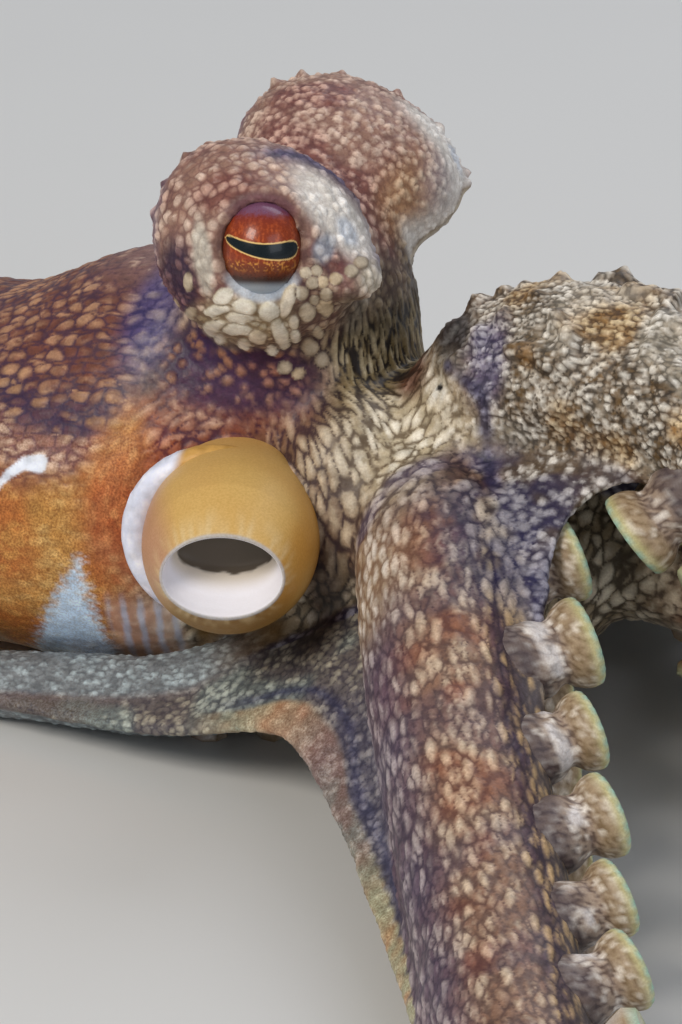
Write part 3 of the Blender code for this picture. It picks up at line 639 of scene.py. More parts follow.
x, y, z = skin.T
on_body = 1 - on_arm
on_mantle = fall(x, -15, -7) * on_body
on_head = rise(z, 41, 45) * on_body
off_funnel = skin - FUNNEL_BASE
funnel_far = off_funnel @ funnel_axis
off_funnel = off_funnel - funnel_far[:, None] * funnel_axis
off_funnel[:, 2] /= COLLAR_FLAT
funnel_wide = np.linalg.norm(off_funnel, axis=1)
beside_funnel = fall(funnel_wide, 13, 17) * rise(z, 17, 23) * (y < -5) * fall(x, 5, 9)
on_cheek = near((-3.0, -13.5, 38.0), (9.0, 7, 5.4), 0.4) * (1 - on_head)
on_neck = rise(z - 14 * rise(x, 11, 17), 18, 22) * rise(x, -2, 0) * fall(x, 12.5, 15.5)
on_neck = on_neck * (1 - on_head) * (1 - on_mantle) * on_body * (1 - on_cheek)
on_ring = beside_funnel * (1 - on_head) * (1 - on_cheek) * (1 - on_neck) * on_body
on_mantle = on_mantle * (1 - on_ring) * (1 - on_cheek)
on_sheet = on_web * on_body
on_crown = np.clip(1 - on_arm - on_mantle - on_head - on_neck - on_cheek - on_ring - on_sheet, 0, 1)

# The cells' sizes in millimetres, as the photo shows them: an oval climbs by its rise, a bead's
# size is that on an arm of BEAD_ARM, and the fine lines part each cell about FINER times.
OVAL_LONG, OVAL_TALL, OVAL_RISE = 2.2, 1.2, 0.22
PEBBLE, FAR_PEBBLE = 1.2, 0.92
DOT = 1.3
STRAND_WIDE, STRAND_LONG, STRAND_HUB, STRAND_RADIUS = 1.15, 4.6, (-6.0, 0.0), 32
RING_WIDE, RING_LONG, RING_RADIUS = 1.0, 3.2, 12
PLATE, PLATE_LONG, SHEET = 1.25, 2.3, 0.95
BEAD_WIDE, BEAD_LONG, BEAD_ARM = 0.92, 1.35, 7.0
FINER = 2.3
smaller = np.where(arm_of == 2, 0.60, 0.92)
arm_cells = arm_offset / (BEAD_WIDE * smaller * np.sqrt(arm_radius / BEAD_ARM))[:, None]
for number, arm in enumerate(arms.values(), 1):
    counted = np.cumsum(ARM_STEP / (BEAD_LONG * np.sqrt(arm.radius / BEAD_ARM)))
    mine = arm_of == number
    counted /= 2.0 if number in THIRD_ARMS else 1.0
    arm_cells[mine, 2] = np.interp(arm_far[mine], arm.far, counted) / smaller[mine]
funnel_turn = np.arctan2(off_funnel[:, 2], off_funnel[:, 0])
ring_cells = np.column_stack([
    funnel_wide / RING_WIDE, funnel_turn * RING_RADIUS / RING_LONG, funnel_far / RING_LONG])
warp = np.stack([clouds(skin / 1.4, seed) for seed in (61, 62, 63)], 1) - 0.5
waved = skin + 0.5 * warp
along, rising = waved[:, 0] + OVAL_RISE * waved[:, 2], waved[:, 2] - OVAL_RISE * waved[:, 0]
oval_cells = np.column_stack([along, waved[:, 1], rising]) / (OVAL_LONG, OVAL_TALL, OVAL_TALL)
oval_cells[:, 0] += 0.5 * np.floor(oval_cells[:, 2])
fan = unit(np.array([0.48, 0.23, 0.85]))
plate_cells = (waved - (waved @ fan)[:, None] * fan * (1 - 1 / PLATE_LONG)) / PLATE
fan_x, fan_y = x - STRAND_HUB[0], y - STRAND_HUB[1]
fan_turn, fan_far = np.arctan2(fan_y, fan_x), np.hypot(fan_x, fan_y)
strand_cells = np.column_stack([
    fan_turn * STRAND_RADIUS / STRAND_WIDE, 0 * z, (fan_far - z) / STRAND_LONG])
strand_cells += warp * (0.3, 0.3, 0.1)
layers = [
    (on_mantle, oval_cells, 1, 0.6),
    (on_head * (y < 0), waved / PEBBLE, 2, 0.9),
    (on_head * (y >= 0), waved / FAR_PEBBLE, 9, 0.9),
    (on_neck, strand_cells, 3, 0.9),
    (on_crown, plate_cells, 4, 0.9),
    (on_arm, arm_cells + warp * (0.45, 0.45, 0.2), 5, 0.9),
    (on_cheek, waved / DOT, 6, 0.7),
    (on_ring, ring_cells + warp * (0.45, 0.15, 0.15), 7, 0.9),
    (on_sheet, waved / SHEET, 8, 0.9),
]
gap, heart, draw, most, fine_gap, fine_draw = (np.zeros(len(skin)) for _ in range(6))
for weight, spots, seed, loose in layers:
    part = (weight > 0.01).nonzero()[0]
    spots = spots[part]
    between, middle, own = pebbles(spots, seed, loose, seed == 1)
    gap[part] += weight[part] * between
    heart[part] += weight[part] * middle
    fine_between, _, fine_own = pebbles(spots * FINER, seed + 70, 0.95)
    fine_gap[part] += weight[part] * fine_between
    stronger = weight[part] > most[part]
    draw[part[stronger]], fine_draw[part[stronger]] = own[stronger], fine_own[stronger]
    most[part] = np.maximum(most[part], weight[part])

# Its colours are three to a place: the line of the net, the ground inside it and the pale heart.
# Its grades say how speckled and raised it is, how dark and fine its net and how pale its hearts.
line = np.tile(linear("#2E241C"), (len(skin), 1))
ground = np.tile(linear("#8C7458"), (len(skin), 1))
pale = np.tile(linear("#E0D4BA"), (len(skin), 1))
speckle, lift, net, fineness, paleness, roundness, dot_size = (
    np.full(len(skin), amount) for amount in (0.30, 0.20, 1.0, 0.55, 0.5, 0.0, 1.0))
grades = dict(
    speckle=speckle, lift=lift, net=net, fineness=fineness, paleness=paleness,
    roundness=roundness, dot_size=dot_size, gap=gap, fine_gap=fine_gap, draw=draw)


def paint(weight, codes="", **amounts):
    """Moves the colours of line, ground and pale, and the grades named, towards what is given by
    the weight at each point."""
    for layer, code in zip((line, ground, pale), codes.split()):
        layer += (linear(code) - layer) * weight[:, None]
    for name, amount in amounts.items():
        grades[name] += (amount - grades[name]) * weight


def patchy(size, seed, low, high):
    """Patches on the skin: smooth noise of the size in millimetres, risen from low to high."""
    return rise(clouds(skin / size, seed), low, high)


def chain(knots, y):
    """Distance to a chain of rods from knot to knot, each known by its place and its radius."""
    knots = np.array(knots)
    return np.minimum.reduce([
        cone(x, y, z, a[:3], b[:3], a[3], b[3]) for a, b in zip(knots, knots[1:])])


# The crown, the neck, the mantle with its rusty flank, the head and the cheek.
paint(on_crown, "#43382C #A8967A #EFE6D2", fineness=0.12, roundness=0.5, net=0.8)
paint(on_neck, "#241A16 #8C7850 #DCCCA8", fineness=0.25)
paint(on_mantle, "#3C2640 #744436 #B98C6C", net=0.6, roundness=0.8, fineness=0.3)
paint(on_head, "#6A4644 #9C7868 #DCC2B0", fineness=0.3, net=0.35, paleness=0.62, roundness=0.9)
redder = patchy(4.0, 12, 0.42, 0.75) * on_head
paint(redder * 0.8, "#4A2430 #74403C #D2A898")
paint(on_cheek, "#22143A #3E2244 #96684E", net=0.25, roundness=1.0, dot_size=0.8, paleness=0.75)
paint(on_ring, "#4E2838 #9E5E42 #DCB098")
flank_edge = z + 0.12 * x + 1.5 * clouds(skin / 2.5, 13) + 4 * (clouds(skin / 7, 30) - 0.5)
low_flank = fall(flank_edge, 22.5, 28) * on_mantle
low_flank += (1 - low_flank) * (on_ring * fall(x + 0.3 * (z - 22), -10, -6))
back_of_mantle = on_mantle * rise(z, 40, 46)
paint(back_of_mantle * 0.5, "#2E2848 #5E5068 #A8948C")
over_flank = (rise(flank_edge, 26, 28) - rise(flank_edge, 28.5, 30.5)) * on_mantle * (y < 0)
paint(over_flank * 0.7, "#6A3A40 #A47460 #E4CCB8")
paint(over_flank, speckle=0.8)
dark_rows = (rise(flank_edge, 28.5, 30) - rise(flank_edge, 31.5, 35)) * on_mantle * (y < 0)
paint(dark_rows * 0.65, "#201844 #44304C #A8805E")
paint(low_flank, "#9C5A2C #B06C34 #C8904C", net=0.05, speckle=1.0, lift=0.01)
paint(low_flank * patchy(6.0, 16, 0.35, 0.7), "#A87838 #BC8A48 #D0A868")
paint(on_mantle * (1 - low_flank), lift=0.13)
# The arms, the white and gold beads of the second right arm, and the paler suckers' sides.
paint(on_arm, "#4C3634 #8E6C58 #D8C2A8", net=0.55, roundness=0.6, lift=0.15)
ARM_BAND_TURN, STRIPE_TURN = 0.42, 3.7
bands = rise(np.sin(arm_far * ARM_BAND_TURN + 2.5 * clouds(skin / 6, 11)), 0.1, 0.9) * on_arm
paint(bands * 0.4, "#2C2840 #5A4A5C #BCACA8")
reddish = patchy(3.5, 31, 0.55, 0.8) * on_arm
paint(reddish * 0.5, "#5A2418 #94583C #D8AE8C")
# Painted shade on the sides of the third arms that face the lens's left.
shaded = on_arm * np.isin(arm_of, THIRD_ARMS) * rise(-normals @ LENS_RIGHT, 0.35, 0.9)
paint(shaded * 0.75, "#26203E #564A64 #A8A0AC")
near_two = on_arm * (arm_of == 2)
paint(near_two, "#1A1410 #705838 #F4EEE2", lift=0.20, net=0.6, paleness=0.60)
gold = patchy(4.0, 17, 0.52, 0.75) * near_two
paint(gold * 0.8, "#3A2414 #946A36 #DCC08C")
bleached = patchy(4.5, 18, 0.5, 0.75) * near_two
paint(bleached * 0.62, "#6A6458 #C2BAA9 #FCF8F0")
near_four = on_arm * np.isin(arm_of, FOURTH_ARMS)
paint(near_four, "#4A4E54 #80868A #B8C8CE", net=0.4)
oral_half = np.where(arm_of == 2, 0.15, 0.75)
oral = on_arm * fall(np.abs(arm_angle) - oral_half, 0.0, 0.4)
paint(oral, "#8C8478 #B5AD9C #D9D4C4", lift=0.05, net=0.3)
by_suckers = on_arm * (arm_of == 3) * fall(np.abs(arm_angle), 1.15, 1.5) * (arm_far < 120)
paint(by_suckers * 0.8, "#16142C #38304A #C09C68")
free_web = on_web * (1 - on_arm)
paint(free_web, "#1E1A34 #37304A #A4A2B4", roundness=1.0, net=0.2, lift=0.08, fineness=0.2)
near_web = free_web * (x < 45) * (y < -22) * (z < 22)
paint(near_web, "#343040 #6C6664 #AEA898", net=0.5, lift=0.1)
paint(near_web * patchy(5.0, 19, 0.5, 0.75) * 0.8, "#3A4048 #7E8A88 #BCC8C0")

# The web between the third and fourth right arms ends in a thin pale margin.
MARGIN_WIDE = 2.1
one, two, reach_one, reach_two, hollow = WEBS[2]
margin = web_sheet(arms[one], arms[two], reach_one, reach_two, hollow, 2, 80)[-1]
part = (near_web > 0.05).nonzero()[0]
margin_far = np.full(len(skin), AWAY)
margin_far[part] = np.sqrt(((skin[part][:, None] - margin[None]) ** 2).sum(-1)).min(1)
right_web = rise(x, -2, 8) * (near_web > 0.05)
margin_wide = MARGIN_WIDE * (1 + 0.9 * near((13, -36, 11), (7, 8, 6)))
on_margin = fall(margin_far, margin_wide * 0.7, margin_wide) * right_web
paint(on_margin, "#84866C #A8A68A #C8C6A8", speckle=0.9, net=0.15, lift=0.03)
paint(on_margin * patchy(1.5, 32, 0.3, 0.9), "#A07850 #B08C68 #D0B494")
paint(on_margin * near((13, -36, 11), (8, 8, 6)) * 0.6, "#905844 #B0846C #CCA890")
paint(on_margin * fall(margin_far, 0.2, 0.6) * 0.6, "#6C9498 #84ACA8 #A0C4B8")
seam = np.exp(-((margin_far - margin_wide * 1.35) / 0.8) ** 2) * right_web
paint(seam * 0.8, "#262A44 #3C4060 #5C607C")

# Patches of other colours and of painted shade: the centre, half sizes, strength and three colours.
MARKS = (
    ("blue sheen behind the head", (-12.9, -10, 41.5), (2.8, 8, 6), 0.6, "#1C2464 #36488C #7A7C9C"),
    ("violet back of the turrets", (-10.4, -13, 50), (1.8, 10, 10), 0.4, "#2C2460 #4A3A70 #A890A8"),
    ("gold side of far turret", (9.0, 5.0, 50.5), (3.4, 5, 4.5), 0.7, "#6A4A34 #A87C50 #D8B890"),
    ("grey edge of the far turret", (13.0, 9.0, 52.5), (3.0, 6, 5), 0.7, "#7C7078 #A89C9C #DCD4CC"),
    ("red skin over the funnel", (-1, -15, 33.5), (8, 6, 4), 0.7, "#4A2034 #7A4034 #C89C84"),
    ("rusty cheek before the funnel", (-11, -20.5, 25), (5, 6, 8), 0.7, "#8A3A24 #B45A30 #CC8858"),
    ("shadow beside the funnel", (9.4, -21.5, 19.5), (2.4, 6, 7), 0.85, "#140C08 #2C1A12 #5A3C2C"),
    ("violet strands beside the funnel", (9, -18, 28.5), (7, 8, 8), 0.8, "#3E2C34 #806858 #D8C8B0"),
    ("navy foot of the cheek", (-1, -14.5, 35.8), (7, 6, 1.9), 0.55, "#14163A #2A2854 #7E5C56"),
    # The next two are painted shade: near-black in the neck's hollow and in the gap behind the
    # second arm.
    ("painted shade by the neck", (9.0, -4.0, 43.5), (4.0, 6, 4.5), 0.8, "#0E0C0A #33291E #786A4C"),
    ("painted shadow behind second arm", (19.3, -9.0, 42.0), (2.4, 4, 3.4), 0.9, "#08080A #15121A #2A2632"),
    ("blue fold of the second arm", (23.5, -13, 42), (2.2, 4, 4.6), 0.6, "#1E1C44 #4A4A8A #8C8CB0"),
    ("cream plates of the crown", (17, -16, 34), (7, 8, 7), 0.8, "#6A5840 #CCBEA0 #FAF4E4"),
    ("brown by the spot", (14.3, -8.4, 37.8), (2.6, 3.4, 2.0), 0.85, "#2C1510 #5C2E22 #8A5A46"),
    ("streaks at the third root", (22, -20, 30), (4.5, 7, 3.6), 0.7, "#2A2440 #5C4448 #BCA49C"),
    ("cream flank of the third arm", (18.5, -29, 24), (5.5, 9, 6), 0.6, "#8A6038 #CDB48C #FBF3E2"),
    ("dark web by the third arm", (28, -26, 25), (5, 9, 6.5), 0.75, "#16143A #3E3448 #CFC4B4"),
    ("beads under the second arm", (32, -19, 33), (7, 7, 4.5), 0.85, "#1A1410 #6A5840 #EEE8DC"),
    ("blue-grey web by the third arm", (20, -44, 11), (9, 15, 6), 0.6, "#2A2A44 #54526A #8E8A9A"),
    ("red web between the arms", (33, -24, 21.5), (3.6, 7, 3.0), 0.85, "#2A0E12 #5C2620 #A87060"),
)
for _, centre, radii, share, codes in MARKS:
    paint(share * near(centre, radii), codes)
paint(near((8, -17, 30), (8, 8, 9)), net=0.8, roundness=0.35)
# The small spot at the crown's front, the third arm's root and the fold behind the second arm.
rosette = np.linalg.norm(skin - (18.5, -12.5, 38.6), axis=1)
paint(fall(rosette, 0.9, 1.5) * 0.85, "#B8AE98 #E6DECC #F8F4EA")
paint(fall(rosette, 0.25, 0.5), "#1A1614 #1A1614 #1A1614")
ROOT_LINE = (
    (14.5, -23.5, 27, 0.6), (17, -20, 31.5, 0.6), (21, -17, 33.3, 0.6), (24.3, -15.6, 33.2, 0.6))
root_line = fall(chain(ROOT_LINE, y) + 1.2 * clouds(skin / 1.5, 35), 0.4, 2.4)
paint(root_line * 0.6, "#342C58 #645A7C #B4ACBC")
near_root = near((29.5, -22, 27.5), (8, 10, 9)) * patchy(2.4, 34, 0.3, 0.58)
paint(near_root * 0.8, "#0E1038 #22224E #8A8898")
paint(near_root, paleness=0.45)
wine = near((23, -17, 31.5), (3.4, 5, 3.4)) * patchy(2.0, 35, 0.25, 0.55)
paint(wine * 0.75, "#22100E #4A2A20 #A88260")
FOLD = (
    (20, -12, 40.5, 0.5), (23.7, -14.6, 39.5, 0.5), (24.1, -15.3, 33.4, 0.5),
    (26, -18.5, 31.5, 0.5), (27, -24, 28.5, 0.5))
fold = fall(chain(FOLD, y) + 0.6 * clouds(skin / 1.2, 33), 0.0, 1.0)
paint(fold * 0.8, "#10102C #22224A #6E6C8C")
paint(near((29, -26, 26), (6, 10, 8)), dot_size=1.25, paleness=0.7)
# The bluish-white wedge with its frayed edge, and the hooked mark over it.
fray = 1.8 * (clouds(skin / 0.3, 14) - 0.5)
wedge_half = 4.3 * (19.0 - z) / 12
wedge_middle = -18.8 + 2.6 * (z - 7) / 12
wedge = rise(wedge_half - np.abs(x - wedge_middle) + fray, -1.0, 1.0)
wedge *= (z < 19.5) * (y < -8) * low_flank * (1 - on_web)
HOOK = (
    (-20.9, 0, 27.7, 0.85), (-22.6, 0, 27.5, 0.6), (-24.2, 0, 26.4, 0.42), (-25.6, 0, 24.6, 0.3))
spot = fall(chain(HOOK, 0), -0.12, 0.12) * (y < -8) * on_body
paint(wedge, "#B4D2F2 #C8E0FA #D8ECFF", speckle=0.5)
paint(spot, "#D8E0F0 #E6ECF8 #F0F4FC", speckle=0.1, net=0.0)
# The pale collar, its ochre end, the stripes below it and the brown skin under the funnel.
collar_gap = ring(x, y, z, collar, funnel_axis, COLLAR_RING, COLLAR_THICK, COLLAR_FLAT)
on_collar = fall(collar_gap, 0.3, 0.9)
under_collar = fall(collar_gap, 1.0, 3.0) * fall(z, 16, 20) * on_body
under_collar *= (x < 0) * (y < -8)
stripe = rise(np.sin(x * STRIPE_TURN - z * 0.35 + 1.3 * clouds(skin / 1.5, 15)), -0.1, 0.8)
low_collar = on_collar * fall(z, 14.5, 18.5)
paint(on_collar, "#D5DEF4 #E2E7FA #F3F4FF")
collar_end = on_collar * rise(x, -5.6, -4.4) * rise(z, 22, 25)
paint(collar_end, "#B98A44 #CC9C50 #D8AC64")
striped = rise(x, -14.5, -13) * fall(x, -7.5, -6) * fall(z, 13, 16) * (y < -10)
striped = np.maximum(np.maximum(low_collar, under_collar), striped * on_body * (1 - on_web))
paint(striped * 0.6, "#B48C80 #C69E8C #D2B4A6")
paint(striped * stripe * 0.6, "#A8BCDC #B6C8E6 #C6D8F0")
edge_line = np.exp(-((collar_gap - 1.1) / 0.4) ** 2) * (x < 2) * (y < -8)
paint(edge_line * 0.7, "#B09AC0 #BCA4C4 #D0B8CC")
smooth = np.clip(on_collar + striped, 0, 1)
paint(smooth, net=0.0, lift=0.0, speckle=0.08)
below = rise(x, -6.5, -5) * fall(x, 4, 6) * fall(z, 13, 15) * (y < -12) * (1 - on_web)
below = np.maximum(below * on_body, on_collar * rise(x, -4.5, -3) * fall(z, 17, 20))
paint(below * 0.95, "#6A4E24 #80602E #94723C")
paint(below, net=0.0, lift=0.02)

# Round the eye the skin is drawn in millimetres across and up from the eye's middle as the lens
# sees it: the lids' tints, the pale patches and the raised pads and beads below the eye.
side_of = np.where(y > 0, 1, -1)
eye_middle = np.where(y[:, None] > 0, EYES["left"][0], EYES["right"][0])
off_eye = (skin - eye_middle) * np.column_stack([np.ones(len(skin)), -side_of, np.ones(len(skin))])
across, above = off_eye @ LENS_RIGHT, off_eye @ LENS_UP
in_face = rise(off_eye @ LENS_BACK, -12.0, -10.5) * (np.hypot(across, above) < 16)
# Patches round the eye: the middle, the half sizes, the turn, the strength and the colours.
FACE_MARKS = (
    # The next two are painted shade, dark in the hollows behind and below the eye.
    ("painted shade behind the eye", (-8.3, -3.6), (2.2, 4.8), 0, 0.92, "#1E1030 #2E1A3A #745058"),
    ("painted shade below it", (-7.6, -8.0), (2.4, 2.4), 0, 0.85, "#1C1230 #30203C #7A5C5C"),
    ("red skin over the eye", (-3.6, 5.4), (3.6, 1.9), 20, 0.7, "#4A1E26 #6E3430 #B88878"),
    ("pale band behind the eye", (-5.6, -1.0), (0.9, 3.8), 8, 0.95, "#9C948C #B8AFA2 #D0C8BA"),
    # The pale patch before the eye is whitish skin with painted light on it; the next is a painted
    # blue highlight.
    ("pale patch with painted light", (7.0, 3.2), (2.3, 6.2), 40, 0.95, "#CFC6BE #E8E2D8 #FFFCF6"),
    ("painted blue highlight", (8.0, 1.6), (0.9, 1.6), 30, 0.6, "#B4C0D0 #C8D4E4 #E4ECF8"),
    ("grey corner of the eye", (5.8, -0.2), (1.0, 1.6), -20, 0.8, "#8A8E98 #A6AEBA #C4CCD4"),
    ("pale tip of the flap", (11.2, -2.6), (2.4, 1.9), 30, 0.85, "#A0947E #CFC5B0 #F4ECDA"),
    # Painted shade in the hollow under the flap.
    ("painted shade by the flap", (8.6, -6.0), (1.8, 2.0), 0, 0.7, "#2E2A26 #5E584C #868070"),
    ("dark ground below the pads", (-1.0, -12.0), (8.0, 2.2), 0, 0.8, "#26122C #46223A #A87464"),
    ("ground between the pads", (-1.5, -6.6), (5.6, 2.4), 0, 0.95, "#6A5240 #A89878 #D4C8B0"),
    ("ground between the beads", (5.0, -5.5), (2.4, 4.6), 0, 0.8, "#3A2430 #5E463E #98846C"),
)


def patch(middle, sizes, turn):
    """How far each point is from an ellipse on the face, as a share of its size."""
    turn = math.radians(turn)
    u, v = across - middle[0], above - middle[1]
    u, v = u * math.cos(turn) + v * math.sin(turn), v * math.cos(turn) - u * math.sin(turn)
    return np.hypot(u / sizes[0], v / sizes[1])


for _, middle, sizes, turn, share, codes in FACE_MARKS:
    paint(share * in_face * fall(patch(middle, sizes, turn), 0.6, 1.3), codes)
# The lids, painted navy shade in the crease round them and the grey lower lid.
lid_turn = np.arctan2(above, across)
lid_far = np.hypot(across, above / EYE_TALL)
on_lid = in_face * fall(lid_far, 4.1, 4.9)
paint(on_lid * 0.9, "#3E2824 #60403A #846454")
upper = on_lid * rise(np.sin(lid_turn), 0.45, 0.9)
paint(upper * 0.9, "#5A3A42 #744C50 #947068")
# Painted shade: a navy line in the crease between the two turrets, above and before the eye.
crease_far = np.hypot(across - 1.0, above + 1.0)
crease_turn = np.degrees(np.arctan2(above + 1.0, across - 1.0))
crease_shade = np.exp(-((crease_far - 10.3) / 0.8) ** 2) * rise(crease_turn, -12, 2)
crease_shade *= in_face * fall(crease_turn, 85, 110) * (y < 0)
paint(crease_shade * 0.95, "#18143C #2C2450 #5C5078")
lower = in_face * fall(lid_far, 4.3, 4.9) * rise(-np.sin(lid_turn), 0.5, 0.85)
paint(lower * 0.95, "#9CA6B2 #B4BCC6 #C9CFD6")
paint(np.clip(on_lid + lower, 0, 1), net=0.0, lift=0.02)

# The pads and beads below the eye: place, half length, half width and turn in degrees.
PADS = (
    (-5.1, -7.3, 1.70, 0.52, 12), (-2.7, -7.5, 1.45, 0.50, -3), (-2.3, -6.5, 1.30, 0.44, -5),
    (-4.4, -5.8, 1.20, 0.46, 8), (-1.7, -5.6, 1.15, 0.62, -10), (2.4, -5.0, 1.55, 0.58, 70),
    (1.6, -7.9, 1.35, 0.68, 112), (0.6, -6.0, 0.95, 0.78, 0), (2.9, -6.9, 0.48, 0.55, 0),
    (3.0, -8.1, 0.50, 0.58, 0), (-8.1, -9.4, 1.60, 0.62, 62), (-8.9, -10.6, 0.72, 0.60, 40),
    (-7.0, -5.9, 0.58, 0.50, 0), (-8.7, -5.0, 0.52, 0.50, 0), (-7.1, -3.1, 0.50, 0.80, 0),
    (-4.4, -8.2, 0.55, 0.42, 0), (-0.6, -8.2, 0.80, 0.56, -8), (-3.7, -4.6, 0.90, 0.72, 30),
    (4.1, -2.5, 0.55, 0.50, 0), (5.1, -2.3, 0.52, 0.48, 0), (4.7, -3.4, 0.62, 0.56, 0),
    (5.7, -3.3, 0.52, 0.50, 0), (3.7, -4.3, 0.66, 0.60, 0), (6.0, -4.4, 0.56, 0.52, 0),
    (5.9, -5.5, 0.76, 0.70, 0), (4.2, -6.0, 0.76, 0.76, 0), (4.9, -4.9, 0.46, 0.42, 0),
    (6.9, -3.0, 0.56, 0.54, 0), (8.4, -2.2, 0.66, 0.60, 0), (5.2, -7.7, 0.50, 0.50, 0),
    (4.4, -9.0, 0.82, 0.76, 0), (2.0, -10.9, 0.66, 0.62, 0), (3.3, -11.5, 0.56, 0.54, 0),
    (5.6, -10.2, 0.70, 0.72, 0), (-6.4, -7.9, 0.60, 0.50, 0), (-6.9, -8.8, 0.55, 0.50, 0),
    (0.7, -9.3, 0.50, 0.46, 0), (-2.0, -8.7, 0.60, 0.44, 0), (9.3, -1.4, 0.70, 0.60, 20),
)
PAD_LIFT, PAD_MORE, PAD_DRAW_STEP = 0.34, 1.16, 0.37
pad_far, pad_next = np.full(len(skin), AWAY), np.full(len(skin), AWAY)
pad_size, pad_draw = np.ones(len(skin)), np.zeros(len(skin))
wave = 0.22 * (clouds(skin / 0.8, 26) - 0.5) + 0.10 * (clouds(skin / 0.3, 27) - 0.5)
for number, (u, v, long_half, wide_half, turn) in enumerate(PADS):
    here = patch((u, v), (long_half * PAD_MORE, wide_half * PAD_MORE), turn) + wave
    closer = here < pad_far
    pad_next = np.where(closer, pad_far, np.minimum(pad_next, here))
    pad_far[closer], pad_size[closer] = here[closer], wide_half
    pad_draw[closer] = (number * PAD_DRAW_STEP) % 1
pad_edge = np.minimum(1.0 - pad_far, (pad_next - pad_far) * 0.9)
in_pad = in_face * rise(pad_edge, 0.0, 0.14)
paint(in_pad, "#7A6650 #D0C6AE #F4EFE2")
round_bead = np.maximum(rise(across, 3.2, 3.6), fall(across, -6.6, -6.0))
round_bead = in_pad * np.maximum(round_bead, fall(above, -10.2, -9.6))
paint(round_bead * 0.9, "#5A463A #94806A #C8B89E")
paint(in_pad * (pad_draw > 0.75) * 0.3, "#7A5A3C #A88454 #D0B080")
pad_weight = in_face * fall(pad_far, 1.0, 1.3)
paint(pad_weight, gap=np.clip(pad_edge, 0, 1) * 0.9, fine_gap=0.6, draw=0.4 + 0.5 * pad_draw)
paint(in_pad, speckle=0.25)

# The colour at each point and how far its relief stands out, from the net and the grades.
mottle = clouds(skin / 4.5, 21) * 0.5 + clouds(skin / 1.9, 22) * 0.5
inside = 1 - net * fall(gap, 0.03, 0.24)
share = 0.9 * mottle + 0.55 * draw + 0.35 * (fine_draw - 0.5)
body = 0.35 + 0.65 * rise(gap, 0.10, 0.55)
body += (fall(heart / dot_size, 0.20 + 0.22 * draw, 0.62 + 0.1 * draw) - body) * roundness
share = rise(share, 0.95 - paleness, 1.45 - paleness) * body
share = np.maximum(share, in_pad * rise(pad_edge, 0.05, 0.6) * (0.55 + 0.5 * mottle))
tone = line + (ground - line) * inside[:, None]
tone = tone + (pale - tone) * (share * inside)[:, None]
fine_line = fall(fine_gap, 0.0, 0.2) * fineness * (1 - in_pad)
tone = tone + (line - tone) * (fine_line * 0.6)[:, None]
tone *= (0.78 + 0.44 * clouds(skin / 0.7, 23))[:, None]
dome = 1 - np.exp(-(gap / 0.30) ** 2)
dome += (1.3 * fall(heart, 0.05, 0.6) - dome) * roundness
relief = lift * dome * (0.6 + 0.8 * draw)
relief += 0.25 * lift * (1 - np.exp(-(fine_gap / 0.3) ** 2))
swell = np.sqrt(1 - (1 - np.clip(pad_edge * 1.6, 0, 1)) ** 2)
relief = relief * (1 - in_pad) + in_pad * PAD_LIFT * np.sqrt(pad_size) * swell
relief += 0.25 * (clouds(skin / 2.6, 24) - 0.5) * (1 - oral) * (1 - on_collar)
knobs = patchy(2.0, 25, 0.5, 0.85) * near_two * rise(normals[:, 2], 0.0, 0.5)
relief += 1.1 * knobs * (1 - oral)

# Small soft spikes stand where each turret and the second arm reach furthest: the way that they
# face, in degrees round the picture from its right, how wide they are and how tall.
SPIKES = (
    ("far", -2, 1.0, 1.0), ("far", 8, 0.8, 1.0), ("far", 40, 0.7, 0.6), ("far", 62, 0.7, 0.7),
    ("far", 84, 0.8, 0.6), ("far", 104, 0.8, 0.9), ("far", 118, 0.9, 1.0),
    ("near", 172, 0.9, 0.5), ("near", 150, 0.8, 0.5), ("near", 128, 0.8, 0.6),
    ("near", 112, 0.8, 0.5), ("near", -34, 1.5, 1.9), ("near", 4, 0.8, 0.6),
    ("near", -24, 0.9, 0.9), ("arm", 118, 1.4, 1.1), ("arm", 104, 1.2, 0.8),
    ("arm", 92, 1.4, 1.1), ("arm", 78, 1.2, 0.9), ("arm", 130, 1.2, 0.8),
)
groups = {"far": (z > 44) & (y > 4), "near": (z > 44) & (y < -8), "arm": near_two > 0.8}
for group, degrees, wide, tall in SPIKES:
    turn = math.radians(degrees)
    reach = skin @ (LENS_RIGHT * math.cos(turn) + LENS_UP * math.sin(turn))
    tip = skin[np.argmax(np.where(groups[group], reach, -999))]
    relief += tall * np.exp(-2 * (np.linalg.norm(skin - tip, axis=1) / wide) ** 2)
skin = skin + normals * relief[:, None]
skin[:, 2] = np.maximum(skin[:, 2], OFF_FLOOR)
normals = point_normals(skin, [quads, threes])

# The skin is wet flesh under a film of water. It gives the eye the net of dark lines, colour
# cells finer than it, and many small soft glints off its grain. The specks are 0.22 mm and the
# grain 0.3 mm, coarser than in life, so that they show at this distance.
SPECK, GRAIN, LINE_WAVER = 0.22, 0.3, 0.5
WET_IOR = 1.38
WHITE, DARK_GRIT, LIGHT_GRIT = (1, 1, 1, 1), (0.62, 0.50, 0.42, 1), (1.28, 1.30, 1.30, 1)
hide, tree, shader = new_material("wet_mottled_skin")
spots = add(tree, "TexCoord").outputs["Object"]
tone_read, line_read = (
    add(tree, "Attribute", attribute_name=name).outputs["Color"] for name in ("tone", "line"))
gap_read, speckle_read, net_read = (
    add(tree, "Attribute", attribute_name=name).outputs["Fac"]
    for name in ("gap", "speckle", "net"))
waver = add(tree, "TexNoise", {
    "Vector": spots, "Scale": 1000 / LINE_WAVER, "Detail": 3.0}).outputs["Fac"]
